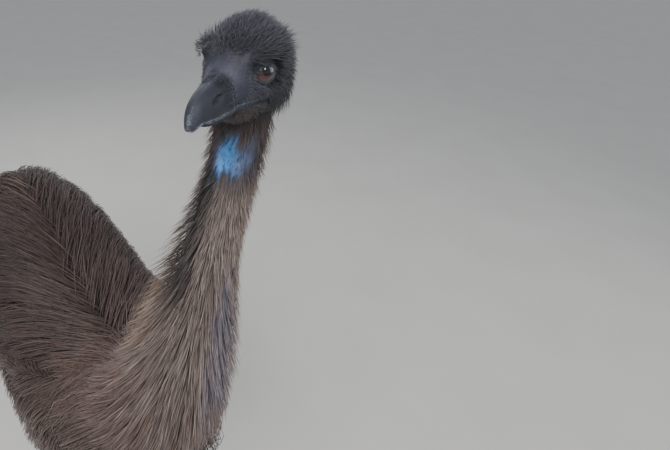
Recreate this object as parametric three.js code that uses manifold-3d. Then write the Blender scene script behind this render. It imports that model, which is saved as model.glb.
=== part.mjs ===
// A life-size still model of a standing adult emu, its head turned to its right.
// Millimetres, +Z up. The bird's chest faces -Y and its left side is +X.
import * as THREE from "three";
import { mergeVertices } from "three/addons/utils/BufferGeometryUtils.js";
import Module from "manifold-3d";

const wasm = await Module();
wasm.setup();

// Driving sizes
const JOIN_GAP = 0.3;
const BODY_FRONT = -525;
const BODY_LENGTH = 925;
const MIDDLE_HEIGHT = [868, 850, 826, 812, 806, 806, 805, 800, 790];
const HALF_WIDTH = [82, 114, 138, 156, 165, 164, 146, 110, 68];
const HEIGHT_ABOVE = [52, 72, 86, 92, 142, 212, 240, 188, 92];
const DEPTH_BELOW = [84, 122, 142, 150, 152, 150, 136, 104, 62];
const COAT_DEPTH = 60;
const TAIL_CUT = 290;

const NECK_LINE = [
  [0, -330, 850],
  [0, -430, 905],
  [8, -478, 985],
  [26, -487, 1062],
  [44, -484, 1130],
  [60, -478, 1194],
  [76, -472, 1262],
  [90, -470, 1330],
  [99, -472, 1392],
  [101, -474, 1450],
];
const NECK_RADIUS = [92, 84, 64, 54, 46, 40, 35, 31, 29, 29];
const NECK_COAT = [40, 38, 33, 26, 20, 14, 9, 5, 4, 4];
const NECK_BASE = 0.39;
const NECK_SPLIT = 0.68;

const HEAD_PLACE = [78, -483, 1489];
const HEAD_TURN = 72;
const HEAD_NOD = 2;
const HEAD_ROLL = 2;

const HOCK = [92, 88, 432];
const KNEE = [104, -74, 668];
const FOOT = [94, 10, 50];
const TOE_SPREAD = 29;

// Locks of the shaggy coat: sizes of one lock, with half its width and half its thickness
const SEED = 20;
const CORE_COAT = 0.34;
const ROOT_DEPTH = 13;
const HANG = 1.7;
const BODY_LOCK = { length: 240, width: 37, thickness: 11, steps: 3 };
const BREAST_LOCK = { length: 190, width: 34, thickness: 10, steps: 2 };
const BELLY_LOCK = { length: 170, width: 36, thickness: 9, steps: 2 };
const RUMP_LOCK = { length: 290, width: 34, thickness: 11, steps: 4 };
const NECK_LOCK = { length: 122, width: 23, thickness: 7, steps: 2 };
const WING_LOCK = { length: 150, width: 18, thickness: 6, steps: 2 };
const THIGH_LOCK = { length: 130, width: 30, thickness: 7, steps: 2 };
const BODY_ROWS = [0.07, 0.56, 1.05, 1.54];
const BELLY_ROWS = [2.1, 2.75];
const BREAST_ROWS = [1.1, 1.75, 2.4];
const RUMP_ROWS = [0.2, 0.85, 1.5];

const COLOURS = {
  coat: 0x5b4c43,
  skin: 0x4a4c55,
  horn: 0x2c2e35,
  scale: 0x6a6259,
  eye: 0x3b211a,
};

const degrees = THREE.MathUtils.degToRad;
const point = (p) => new THREE.Vector3(...p);

// A value part of the way along a list of evenly spaced ones, on a smooth curve.
function along(list, t) {
  const place = THREE.MathUtils.clamp(t, 0, 1) * (list.length - 1);
  const i = Math.min(Math.floor(place), list.length - 2);
  const f = place - i;
  const at = (k) => list[THREE.MathUtils.clamp(k, 0, list.length - 1)];
  const [a, b, c, d] = [at(i - 1), at(i), at(i + 1), at(i + 2)];
  return b + 0.5 * f * (c - a + f * (2 * a - 5 * b + 4 * c - d + f * (3 * (b - c) + d - a)));
}

// A closed solid from a closed geometry, turned outside out if it needs it.
function solid(geometry) {
  const bare = geometry.clone().deleteAttribute("normal").deleteAttribute("uv");
  const merged = mergeVertices(bare, 1e-3);
  const build = (triVerts) =>
    new wasm.Manifold(
      new wasm.Mesh({ numProp: 3, vertProperties: merged.attributes.position.array, triVerts }),
    );
  const triangles = new Uint32Array(merged.index.array);
  const made = build(triangles);
  return made.volume() > 0 ? made : build(triangles.reverse());
}

// A closed tube. place(share of the length, angle round it, reach from the middle) gives each point.
function sweep(sides, steps, place, tip = 1) {
  const geometry = new THREE.CylinderGeometry(tip, 1, 1, sides, steps);
  const corners = geometry.attributes.position;
  for (let i = 0; i < corners.count; i += 1) {
    const corner = new THREE.Vector3().fromBufferAttribute(corners, i);
    const reach = Math.hypot(corner.x, corner.z) > 1e-6 ? 1 : 0;
    const spot = place(corner.y + 0.5, Math.atan2(corner.x, corner.z), reach);
    corners.setXYZ(i, spot.x, spot.y, spot.z);
  }
  return solid(geometry);
}

// A repeatable draw between -1 and 1.
function draws(seed) {
  let state = seed;
  return () => {
    state = (state * 1664525 + 1013904223) % 4294967296;
    return state / 2147483648 - 1;
  };
}

// A flat tapered lock along a path of points. Its flat side faces away from the axis point.
function lock(path, axis, size, grow) {
  const curve = new THREE.CatmullRomCurve3(path, false, "centripetal");
  return sweep(4, size.steps, (t, angle, reach) => {
    const middle = curve.getPointAt(t);
    const tangent = curve.getTangentAt(t);
    const out = middle.clone().sub(axis(middle));
    const across = new THREE.Vector3().crossVectors(tangent, out).normalize();
    const raised = new THREE.Vector3().crossVectors(across, tangent);
    const wide = size.width * (0.55 + 0.75 * t) * (1 - t ** 2.4) + grow;
    const thick = size.thickness * (1 - 0.75 * t) + grow;
    return middle
      .addScaledVector(across, wide * Math.sin(angle) * reach)
      .addScaledVector(raised, thick * Math.cos(angle) * reach);
  }, 0);
}

// The largest closed surface of a solid, without scraps and sealed hollows.
function largest(made) {
  return made.decompose().reduce((a, b) => (b.volume() > a.volume() ? b : a));
}

const joined = (...solids) => largest(wasm.Manifold.union(solids));
const less = (made, ...cutters) => largest(cutters.reduce((rest, c) => rest.subtract(c), made));

// Body: upright oval sections from the breast to the rump.
function roundedEnd(t) {
  const share = Math.min(t, 1 - t) / 0.16;
  return share >= 1 ? 1 : Math.sqrt(Math.max(0, 1 - (1 - share) ** 2));
}

function bodyPoint(t, angle, reach, grow) {
  const shrink = roundedEnd(t) * reach;
  const up = Math.cos(angle);
  const height = up > 0 ? along(HEIGHT_ABOVE, t) : along(DEPTH_BELOW, t);
  return new THREE.Vector3(
    (along(HALF_WIDTH, t) + grow) * Math.sin(angle) * shrink,
    BODY_FRONT - 0.85 * grow + t * (BODY_LENGTH + 1.7 * grow),
    along(MIDDLE_HEIGHT, t) + (height + grow) * up * shrink,
  );
}

const evenEnds = (t) => (1 - Math.cos(Math.PI * t)) / 2;

function body(grow) {
  return sweep(20, 15, (t, angle, reach) => bodyPoint(evenEnds(t), angle, reach, grow));
}

// A block that covers everything behind or ahead of a cut across the body.
function halfSpace(from, behind) {
  const side = 2000;
  const block = new THREE.BoxGeometry(side, side, side);
  return solid(block.translate(0, from + (behind ? side / 2 : -side / 2), 800));
}

// Neck: round sections square to its curve.
const neckCurve = new THREE.CatmullRomCurve3(NECK_LINE.map(point), false, "centripetal");

function neckPoint(t, angle, reach, grow, coat) {
  const middle = neckCurve.getPointAt(t);
  const tangent = neckCurve.getTangentAt(t);
  const left = new THREE.Vector3(1, 0, 0).addScaledVector(tangent, -tangent.x).normalize();
  const front = new THREE.Vector3().crossVectors(tangent, left);
  const radius = (along(NECK_RADIUS, t) + coat * along(NECK_COAT, t) + grow) * reach;
  return middle
    .addScaledVector(left, radius * Math.sin(angle))
    .addScaledVector(front, radius * Math.cos(angle));
}

function neck(from, to, steps, grow, coat) {
  return sweep(14, steps, (t, angle, reach) =>
    neckPoint(THREE.MathUtils.lerp(from, to, t), angle, reach, grow, coat),
  );
}

// Head, in its own frame: +X to the bill, +Y to the bird's left, +Z up.
const SKULL_BACK = -60;
const SKULL_LENGTH = 96;
const SKULL_MIDDLE = [-6, -4, -3, -3, -6, -11];
const SKULL_WIDTH = [20, 30, 34.5, 34, 27.5, 18];
const SKULL_ABOVE = [24, 36, 43, 42, 33, 19.5];
const SKULL_BELOW = [22, 30, 36, 36, 31, 20.5];
const EYE_PLACE = [2, 24, 3];
const EYE_RADIUS = 11.5;
const EAR_PLACE = [-30, 27.5, -13];
const BILL_BASE = 36;

function skullPoint(t, angle, reach, grow) {
  const share = Math.min(t / 0.3, 1);
  const shrink = Math.sqrt(Math.max(0, 1 - (1 - share) ** 2)) * reach;
  const up = Math.cos(angle);
  const height = up > 0 ? along(SKULL_ABOVE, t) : along(SKULL_BELOW, t);
  return new THREE.Vector3(
    SKULL_BACK - grow + t * (SKULL_LENGTH + grow),
    (along(SKULL_WIDTH, t) + grow) * Math.sin(angle) * shrink,
    along(SKULL_MIDDLE, t) + (height + grow) * up * shrink,
  );
}

function ball(place, radii, wide = 14, high = 10) {
  const geometry = new THREE.SphereGeometry(1, wide, high);
  return solid(geometry.scale(...radii).translate(...place));
}

const sideways = (place, side) => [place[0], place[1] * side, place[2]];

function lid(side) {
  const ring = new THREE.TorusGeometry(9.6, 2.4, 5, 14);
  ring.rotateX(Math.PI / 2).scale(1.12, 1, 0.95);
  ring.rotateZ(degrees(-6 * side)).rotateX(degrees(8 * side));
  return solid(ring.translate(EYE_PLACE[0], side * (EYE_PLACE[1] + 8.2), EYE_PLACE[2]));
}

function brow(side) {
  return ball([3, 25 * side, 17], [20, 9.5, 7.5], 10, 6);
}

function earSocket(side, grow) {
  const cup = new THREE.CylinderGeometry(6.5 + grow, 6.5 + grow, 14, 12);
  return solid(cup.translate(...sideways(EAR_PLACE, side)));
}

function mouthLine(side) {
  const wedge = new THREE.CylinderGeometry(1.1, 1.1, 44, 6).rotateZ(Math.PI / 2);
  wedge.rotateZ(degrees(-15 * side));
  return solid(wedge.translate(20, side * 26, -22));
}

function skull(grow) {
  return sweep(18, 11, (t, angle, reach) => skullPoint(t, angle, reach, grow));
}

function headSolid() {
  const flesh = joined(skull(0), ...[1, -1].flatMap((side) => [lid(side), brow(side)]));
  const sockets = [1, -1].flatMap((side) => [
    ball(sideways(EYE_PLACE, side), Array(3).fill(EYE_RADIUS + JOIN_GAP), 12, 8),
    earSocket(side, JOIN_GAP),
    mouthLine(side),
  ]);
  return less(flesh, ...sockets);
}

function eye(side) {
  return ball(sideways(EYE_PLACE, side), Array(3).fill(EYE_RADIUS), 12, 8);
}

// The cup round an ear's opening: a short tube with a blind hole in its outer face.
function ear(side) {
  const profile = [[0, -5], [6.5, -5], [6.5, 5.2], [4.6, 6.6], [3.2, 4], [2.6, -1], [0, -1.6]];
  const cup = new THREE.LatheGeometry(profile.map((p) => new THREE.Vector2(...p)), 12);
  if (side < 0) cup.rotateX(Math.PI);
  return solid(cup.translate(...sideways(EAR_PLACE, side)));
}

// Bill: the upper half hooks down over the tip, and the lower is flat and broad.
const BILL_LENGTH = 48;
const BILL_WIDTH = [17.2, 16, 14.6, 12.6, 9.6, 5.2];
const CULMEN = [7, 4, 1.5, -1.5, -7, -19];
const UPPER_EDGE = [-21.5, -22, -22.3, -22.5, -22.6, -22.8, -24, -31];
const LOWER_EDGE = [-22.8, -23.4, -23.8, -24, -24.2, -24.6];
const CHIN = [-31, -31.4, -31.2, -30.4, -29, -27];

function billPart(top, bottom, from, length, width) {
  return sweep(12, 7, (t, angle, reach) => {
    const high = along(top, t);
    const low = along(bottom, t);
    const half = (high - low) / 2;
    return new THREE.Vector3(
      from + t * length,
      along(BILL_WIDTH, t) * width * Math.sign(Math.sin(angle)) *
        Math.abs(Math.sin(angle)) ** 0.8 * reach,
      low + half + half * Math.cos(angle) * reach,
    );
  });
}

function nostril(side) {
  return ball([BILL_BASE + 20, 13.6 * side, -8], [6.5, 3.6, 3.4], 10, 6);
}

const upperBill = () =>
  less(
    billPart(CULMEN, UPPER_EDGE, BILL_BASE + JOIN_GAP, BILL_LENGTH, 1),
    nostril(1),
    nostril(-1),
  );
const lowerBill = () =>
  billPart(LOWER_EDGE, CHIN, BILL_BASE + JOIN_GAP, BILL_LENGTH - 11, 0.93);

// Legs, built for the left side. The right one is mirrored.
function limb(from, to, sides, steps, widths, depths, bulge, grow = 0, dome = 0) {
  const line = point(to).sub(point(from));
  const down = line.clone().normalize();
  const left = new THREE.Vector3(1, 0, 0).addScaledVector(down, -down.x).normalize();
  const front = new THREE.Vector3().crossVectors(left, down);
  return sweep(sides, steps, (t, angle, reach) => {
    const forward = Math.cos(angle);
    const raised = 1 + bulge(t, forward);
    const share = dome > 0 ? Math.min(1, t / dome) : 1;
    const spread = Math.sqrt(1 - (1 - share) ** 2) * reach;
    return point(from)
      .addScaledVector(line, t)
      .addScaledVector(left, (along(widths, t) + grow) * Math.sin(angle) * spread)
      .addScaledVector(front, (along(depths, t) + grow) * forward * raised * spread);
  });
}

const DRUM_WIDTH = [70, 76, 66, 50, 38, 30, 27];
const DRUM_DEPTH = [84, 96, 84, 62, 46, 35, 31];

function drumstick(grow) {
  return limb(KNEE, HOCK, 12, 9, DRUM_WIDTH, DRUM_DEPTH, () => 0, grow, 0.3);
}

const SHANK_WIDTH = [28, 27, 20, 17, 16.5, 16.5, 17, 19, 23, 27];
const SHANK_DEPTH = [33, 30, 22, 19, 18, 18, 18.5, 20, 23, 26];
const SHANK_SCUTES = 14;

// Each scute is a step that stands out in front and slopes back to the next one.
function scuteStep(t, forward) {
  const ramp = (t * SHANK_SCUTES) % 1;
  return forward > 0.2 ? 0.13 * (1 - ramp) * forward : 0;
}

function shank(grow) {
  const top = point(HOCK).lerp(point(FOOT), 0.03).toArray();
  const stem = limb(top, FOOT, 8, SHANK_SCUTES * 2, SHANK_WIDTH, SHANK_DEPTH, scuteStep, grow);
  const knobAt = point(HOCK).lerp(point(FOOT), 0.05).toArray();
  const knob = ball(knobAt, [30, 36, 34].map((radius) => radius + grow), 10, 6);
  const pad = sweep(14, 3, (t, angle, reach) =>
    new THREE.Vector3(
      FOOT[0] + (27 - 3 * t + grow) * Math.sin(angle) * reach,
      FOOT[1] + 2 - (31 - 4 * t + grow) * Math.cos(angle) * reach,
      t * (FOOT[2] + 6) - (t < 0.01 ? grow : 0),
    ),
  );
  return joined(stem, knob, pad);
}

// A toe along +X from its root, flat underneath, with a swelling at each joint.
function toeSolid(length, width, height, joints, grow) {
  const rings = joints * 3;
  return sweep(8, rings, (t, angle, reach) => {
    const pad = 1 + 0.1 * Math.cos(2 * Math.PI * joints * t);
    const taper = (1 - 0.34 * t) * (t > 0.9 ? Math.sqrt(1 - ((t - 0.9) / 0.1) ** 2 * 0.6) : 1);
    const up = Math.cos(angle);
    const tall = (height + grow) * (1 - 0.42 * t);
    return new THREE.Vector3(
      t * (length + grow),
      (width * taper * pad + grow) * Math.sin(angle) * reach,
      Math.max(-grow, tall * (0.4 + 0.6 * up * reach)),
    );
  });
}

function clawSolid(from, length, radius) {
  return sweep(8, 4, (t, angle, reach) => {
    const thick = radius * (1 - t) ** 0.7 * reach;
    return new THREE.Vector3(
      from + t * length,
      thick * Math.sin(angle),
      Math.max(0.6, 10 - 9 * t ** 1.6 + thick * 1.1 * Math.cos(angle)),
    );
  }, 0);
}

// Each toe: name, turn outwards, length, half width, height, joints, claw length
const TOES = [
  ["inner", -TOE_SPREAD, 92, 14, 29, 3, 25],
  ["middle", 0, 132, 17, 33, 4, 30],
  ["outer", TOE_SPREAD + 2, 86, 14, 28, 4, 23],
];

function turned(made, turn) {
  const placed = geometryOf(made).rotateZ(-Math.PI / 2 + degrees(turn));
  return solid(placed.translate(FOOT[0], FOOT[1] - 6, 0));
}

const middleToe = (grow) => turned(toeSolid(...TOES[1].slice(2, 6), grow), TOES[1][1]);

// Coat of the body. Each path starts inside the core and rises to the coat's full depth.
const bodyAxis = (spot) => {
  const share = (spot.y - BODY_FRONT) / BODY_LENGTH;
  return new THREE.Vector3(0, spot.y, along(MIDDLE_HEIGHT, share));
};

// A point in the coat that hangs straight down once it is past the body's widest part.
function coatPoint(y, angle, lift) {
  const share = THREE.MathUtils.clamp((y - BODY_FRONT) / BODY_LENGTH, 0.02, 0.98);
  const over = Math.max(0, Math.abs(angle) - HANG);
  const spot = bodyPoint(share, angle - Math.sign(angle) * over, 1, lift);
  spot.z -= over * along(DEPTH_BELOW, share);
  return spot;
}

function coatLift(t, depth, core) {
  return THREE.MathUtils.lerp(core - ROOT_DEPTH, depth, 1 - (1 - t) ** 2);
}

function coatPath(y, angle, side, back, size, depth, draw) {
  const length = size.length * (1 + 0.1 * draw());
  const lean = back + 0.08 * draw();
  const spread = Math.sqrt(1 - lean * lean);
  const tip = depth * (0.93 + 0.07 * draw());
  const girth = along(HALF_WIDTH, (y - BODY_FRONT) / BODY_LENGTH) + 45;
  return [0, 0.25, 0.5, 0.75, 1].map((t) =>
    coatPoint(
      y + length * lean * t,
      side * (angle + (length * spread * t) / girth),
      coatLift(t, tip, COAT_DEPTH * CORE_COAT),
    ),
  );
}

function bodyLocks(grow) {
  const draw = draws(SEED);
  const locks = [];
  BODY_ROWS.forEach((angle, row) => {
    const back = THREE.MathUtils.lerp(0.7, 0.3, Math.min(1, angle / 1.3));
    for (let y = -495 + 56 * (row % 2); y < 290; y += 112) {
      for (const side of [1, -1]) {
        const path = coatPath(y + 12 * draw(), angle + 0.05 * draw(), side, back, BODY_LOCK, COAT_DEPTH, draw);
        locks.push(lock(path, bodyAxis, BODY_LOCK, grow));
      }
    }
  });
  for (const y of [-512, -445]) {
    for (const angle of BREAST_ROWS) {
      for (const side of [1, -1]) {
        const turn = angle + 0.12 * draw();
        const path = coatPath(y, turn, side, 0.16, BREAST_LOCK, COAT_DEPTH, draw);
        locks.push(lock(path, bodyAxis, BREAST_LOCK, grow));
      }
    }
  }
  BELLY_ROWS.forEach((angle, row) => {
    for (let y = -440 + 70 * row; y < 200; y += 140) {
      for (const side of [1, -1]) {
        const start = bodyPoint((y - BODY_FRONT) / BODY_LENGTH, side * angle, 1, COAT_DEPTH * CORE_COAT - ROOT_DEPTH);
        const path = [0, 1, 2, 3].map((k) =>
          start.clone().add(new THREE.Vector3(0, 48 * k, -13 * k * (1 + 0.2 * draw()))),
        );
        locks.push(lock(path, bodyAxis, BELLY_LOCK, grow));
      }
    }
  });
  return locks;
}

// The rump's locks arch back and fall as a drooping bunch.
function rumpLocks(grow) {
  const draw = draws(SEED + 1);
  const locks = [];
  for (const [row, y] of [318, 378].entries()) {
    for (const angle of RUMP_ROWS) {
      for (const side of [1, -1]) {
        const turn = side * (angle + 0.2 * (row % 2) + 0.05 * draw());
        const start = bodyPoint((y - BODY_FRONT) / BODY_LENGTH, turn, 1, 6);
        const reach = RUMP_LOCK.length * (1 - 0.16 * angle + 0.08 * draw());
        const path = [0, 0.25, 0.5, 0.75, 1].map((t) =>
          start.clone().add(
            new THREE.Vector3(
              side * Math.sin(Math.abs(turn)) * 46 * Math.sin(1.6 * t),
              (62 + 34 * Math.cos(turn)) * Math.sin(2.1 * t),
              Math.cos(turn) * 60 * Math.sin(2.4 * t) - reach * t ** 1.5,
            ),
          ),
        );
        locks.push(lock(path, bodyAxis, RUMP_LOCK, grow));
      }
    }
  }
  return locks;
}

// The neck's locks hang down along it.
function neckLocks(grow) {
  const draw = draws(SEED + 2);
  const locks = [];
  let row = 0;
  for (let t = 0.8; t > 0.12; t -= 0.1) {
    const count = t > 0.55 ? 5 : 6;
    const length = (NECK_LOCK.length * (1.35 - 0.8 * t)) / neckCurve.getLength();
    for (let k = 0; k < count; k += 1) {
      const turn = ((k + 0.5 * (row % 2)) / count) * 2 * Math.PI + 0.1 * draw();
      const reach = length * (1 + 0.12 * draw());
      const path = [0, 0.33, 0.67, 1].map((s) => {
        const place = Math.max(t - reach * s, 0.01);
        const deep = THREE.MathUtils.lerp(CORE_COAT, 1, 1 - (1 - s) ** 2);
        return neckPoint(place, turn + 0.1 * s * draw(), 1, s === 0 ? -ROOT_DEPTH * 0.8 : 0, deep);
      });
      const size = { ...NECK_LOCK, width: NECK_LOCK.width * (1.25 - 0.55 * t) };
      locks.push(lock(path, neckAxis, size, grow));
    }
    row += 1;
  }
  return locks;
}

function neckAxis(spot) {
  let best = neckCurve.getPointAt(0);
  for (let t = 0; t <= 1; t += 0.04) {
    const trial = neckCurve.getPointAt(t);
    if (trial.distanceTo(spot) < best.distanceTo(spot)) best = trial;
  }
  return best;
}

// Wing: a short flat arm against the side, with locks of its own hanging back from it.
const wingLine = new THREE.CatmullRomCurve3(
  [[140, -305, 925], [204, -225, 893], [232, -130, 832], [236, -60, 778]].map(point),
);

function wing(grow) {
  const out = new THREE.Vector3(1, -0.2, 0.25).normalize();
  const arm = sweep(10, 8, (t, angle, reach) => {
    const across = new THREE.Vector3().crossVectors(wingLine.getTangentAt(t), out).normalize();
    const wide = (30 - 18 * t) * Math.sqrt(1 - (2 * t - 1) ** 6 * 0.9);
    return wingLine
      .getPointAt(t)
      .addScaledVector(across, (wide + grow) * Math.sin(angle) * reach)
      .addScaledVector(out, (17 - 9 * t + grow) * Math.cos(angle) * reach);
  });
  const draw = draws(SEED + 3);
  const locks = [0.12, 0.34, 0.56, 0.78, 0.95].map((t) => {
    const start = wingLine.getPointAt(t);
    const path = [0, 0.33, 0.67, 1].map((s) =>
      start.clone().add(
        new THREE.Vector3(
          18 * s * (1 - 0.4 * s) + 3 * draw() * s,
          WING_LOCK.length * 0.66 * s,
          -WING_LOCK.length * (0.5 + 0.3 * s) * s * (1 + 0.15 * draw()),
        ),
      ),
    );
    return lock(path, bodyAxis, WING_LOCK, grow);
  });
  return joined(arm, ...locks);
}

// The thigh's coat: locks round its upper half that hang along it.
function thighLocks(grow) {
  const draw = draws(SEED + 4);
  const line = point(HOCK).sub(point(KNEE));
  const locks = [];
  for (const [row, t] of [0.22, 0.46].entries()) {
    for (let k = 0; k < 5; k += 1) {
      const angle = ((k + 0.5 * row) / 5) * 2 * Math.PI + 0.1 * draw();
      const path = [0, 0.33, 0.67, 1].map((s) => {
        const place = t + (THIGH_LOCK.length * s) / line.length();
        const width = along(DRUM_WIDTH, place) - 12 + 24 * Math.min(1, 1.6 * s);
        const depth = along(DRUM_DEPTH, place) - 12 + 24 * Math.min(1, 1.6 * s);
        return point(KNEE)
          .addScaledVector(line, place)
          .add(new THREE.Vector3(width * Math.sin(angle), -depth * Math.cos(angle) * 0.85, -depth * Math.cos(angle) * 0.5));
      });
      const axis = (spot) => {
        const share = (KNEE[2] - spot.z) / (KNEE[2] - HOCK[2]);
        return point(KNEE).addScaledVector(line, share);
      };
      locks.push(lock(path, axis, THIGH_LOCK, grow));
    }
  }
  return locks;
}

function geometryOf(made) {
  const mesh = made.getMesh();
  const geometry = new THREE.BufferGeometry();
  geometry.setAttribute("position", new THREE.BufferAttribute(mesh.vertProperties, 3));
  geometry.setIndex(new THREE.BufferAttribute(mesh.triVerts, 1));
  geometry.computeVertexNormals();
  return geometry;
}

const FINISHES = {
  coat: new THREE.MeshStandardMaterial({ color: COLOURS.coat, roughness: 0.85, metalness: 0 }),
  skin: new THREE.MeshStandardMaterial({ color: COLOURS.skin, roughness: 0.7, metalness: 0 }),
  horn: new THREE.MeshStandardMaterial({ color: COLOURS.horn, roughness: 0.45, metalness: 0 }),
  scale: new THREE.MeshStandardMaterial({ color: COLOURS.scale, roughness: 0.6, metalness: 0 }),
  eye: new THREE.MeshStandardMaterial({ color: COLOURS.eye, roughness: 0.08, metalness: 0 }),
};

function named(name, made, finish) {
  const mesh = new THREE.Mesh(geometryOf(made), FINISHES[finish]);
  mesh.name = name;
  return mesh;
}

const mirrored = (made) => solid(geometryOf(made).scale(-1, 1, 1));

// Assembly
const emu = new THREE.Group();

const head = new THREE.Group();
head.position.set(...HEAD_PLACE);
head.rotation.order = "ZYX";
head.rotation.set(degrees(HEAD_ROLL), degrees(HEAD_NOD), degrees(-90 - HEAD_TURN));
head.updateMatrix();
head.add(named("head", headSolid(), "coat"));
head.add(named("bill_upper", upperBill(), "horn"));
head.add(named("bill_lower", lowerBill(), "horn"));
for (const [side, label] of [[1, "left"], [-1, "right"]]) {
  head.add(named(`eye_${label}`, eye(side), "eye"));
  head.add(named(`ear_${label}`, ear(side), "skin"));
}
emu.add(head);

const placedHead = (grow) => solid(geometryOf(skull(grow)).applyMatrix4(head.matrix));
const core = body(COAT_DEPTH * CORE_COAT);
const coreGrown = body(COAT_DEPTH * CORE_COAT + JOIN_GAP);
const stem = shank(0);
const stemGrown = shank(JOIN_GAP);
const fullThigh = (grow) => joined(drumstick(grow), ...thighLocks(grow));
const thigh = less(fullThigh(0), coreGrown, stemGrown);
const thighGrown = fullThigh(JOIN_GAP);
const fullWing = wing(0);
const arm = less(fullWing, coreGrown);
const armGrown = wing(JOIN_GAP);

// The coat is joined whole and then parted into its nodes, so a lock runs on across a seam.
const gap = (0.5 * JOIN_GAP) / neckCurve.getLength();
const bodyCoat = wasm.Manifold.union([...bodyLocks(0), ...rumpLocks(0)])
  .subtract(thighGrown)
  .subtract(mirrored(thighGrown))
  .subtract(armGrown)
  .subtract(mirrored(armGrown));
const neckCore = neck(0, 1, 18, 0, CORE_COAT);
const whole = joined(core, bodyCoat, neckCore, ...neckLocks(0));
const neckRoom = (from, to) => neck(from, to, 8, 34, 1);
const lowNeck = largest(whole.intersect(neckRoom(NECK_BASE + gap, NECK_SPLIT - gap)));
const highNeck = largest(whole.intersect(neckRoom(NECK_SPLIT + gap, 1)));
const trunk = whole.subtract(neckRoom(NECK_BASE - gap, 1));
emu.add(named("neck_lower", lowNeck, "coat"));
emu.add(named("neck_upper", less(highNeck, placedHead(JOIN_GAP)), "coat"));
emu.add(named("torso", less(trunk, halfSpace(TAIL_CUT, true)), "coat"));
emu.add(named("tail", less(trunk, halfSpace(TAIL_CUT + JOIN_GAP, false)), "coat"));

for (const [mirror, label] of [[false, "left"], [true, "right"]]) {
  const sided = mirror ? mirrored : (made) => made;
  emu.add(named(`wing_${label}`, sided(arm), "coat"));
  emu.add(named(`drumstick_${label}`, sided(thigh), "coat"));
  emu.add(named(`shank_${label}`, sided(stem), "scale"));
  for (const [toe, turn, length, width, height, joints, claw] of TOES) {
    const digit = (grow) => turned(toeSolid(length, width, height, joints, grow), turn);
    const clear = toe === "middle" ? [stemGrown] : [stemGrown, middleToe(JOIN_GAP)];
    const nail = less(turned(clawSolid(length - 10, claw, 7), turn), digit(JOIN_GAP));
    emu.add(named(`toe_${toe}_${label}`, sided(less(digit(0), ...clear)), "scale"));
    emu.add(named(`claw_${toe}_${label}`, sided(nail), "horn"));
  }
}

// The origin is the middle of the underside of the whole bird's box.
const span = new THREE.Box3().setFromObject(emu, true);
const middle = span.getCenter(new THREE.Vector3());
emu.position.set(-middle.x, -middle.y, -span.min.z);

export default emu;
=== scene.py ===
import math

import bpy
import numpy as np
from mathutils import Matrix, Vector


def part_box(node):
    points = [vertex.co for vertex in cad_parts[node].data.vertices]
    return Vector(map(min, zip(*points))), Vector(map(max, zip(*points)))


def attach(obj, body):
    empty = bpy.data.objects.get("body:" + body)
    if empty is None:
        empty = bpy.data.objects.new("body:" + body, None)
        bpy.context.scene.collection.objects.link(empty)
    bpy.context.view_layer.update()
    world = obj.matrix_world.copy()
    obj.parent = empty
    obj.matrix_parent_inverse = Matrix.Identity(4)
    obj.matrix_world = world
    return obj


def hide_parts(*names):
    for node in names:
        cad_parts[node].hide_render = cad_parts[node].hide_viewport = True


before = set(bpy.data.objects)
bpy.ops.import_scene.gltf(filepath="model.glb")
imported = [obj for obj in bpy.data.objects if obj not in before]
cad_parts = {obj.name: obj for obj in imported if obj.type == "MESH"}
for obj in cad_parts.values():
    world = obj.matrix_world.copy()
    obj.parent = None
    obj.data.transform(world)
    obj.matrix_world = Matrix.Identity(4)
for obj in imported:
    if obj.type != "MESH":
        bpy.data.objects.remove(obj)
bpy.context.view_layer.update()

LIVE = "root"
SIDES = (("left", 1), ("right", -1))
SEED = 41
draw = np.random.default_rng(SEED)

# Sizes of the bird in metres. Its chest faces -Y, its left side is +X and the floor is at 0.
# A list of plain numbers gives values at even steps along its part.
BODY_FRONT = -0.525
BODY_LENGTH = 0.925
MIDDLE_HEIGHT = [0.868, 0.850, 0.826, 0.812, 0.806, 0.806, 0.805, 0.800, 0.790]
HALF_WIDTH = [0.082, 0.114, 0.138, 0.156, 0.165, 0.164, 0.146, 0.110, 0.068]
HEIGHT_ABOVE = [0.052, 0.072, 0.086, 0.092, 0.142, 0.212, 0.240, 0.188, 0.092]
DEPTH_BELOW = [0.084, 0.122, 0.142, 0.150, 0.152, 0.150, 0.136, 0.104, 0.062]
COAT_DEPTH = 0.060
SKIN_LIFT = 0.014
# The coat hangs straight down from this angle on, counted in radians from the spine.
HANG = 1.7

NECK_LINE = [
    (0.000, -0.330, 0.850), (0.000, -0.430, 0.905), (0.008, -0.478, 0.985),
    (0.026, -0.487, 1.062), (0.044, -0.484, 1.130), (0.060, -0.478, 1.194),
    (0.076, -0.472, 1.262), (0.090, -0.470, 1.330), (0.099, -0.472, 1.392),
    (0.101, -0.474, 1.450),
]
NECK_RADIUS = [0.092, 0.084, 0.064, 0.054, 0.046, 0.040, 0.035, 0.031, 0.029, 0.029]
NECK_COAT = [0.040, 0.038, 0.033, 0.026, 0.020, 0.014, 0.009, 0.005, 0.004, 0.004]

HEAD_PLACE = (0.078, -0.483, 1.489)
HEAD_TURN, HEAD_NOD, HEAD_ROLL = 72, 2, 2
SKULL_BACK = -0.060
SKULL_LENGTH = 0.096
SKULL_MIDDLE = [-0.006, -0.004, -0.003, -0.003, -0.006, -0.011]
SKULL_WIDTH = [0.020, 0.030, 0.0345, 0.034, 0.0275, 0.018]
SKULL_ABOVE = [0.024, 0.036, 0.043, 0.042, 0.033, 0.0195]
SKULL_BELOW = [0.022, 0.030, 0.036, 0.036, 0.031, 0.0205]
EYE_PLACE = (0.002, 0.024, 0.003)
EYE_MIDDLE = (0.0035, 0.0235, 0.003)
EYE_BALL = 0.0122
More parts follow.
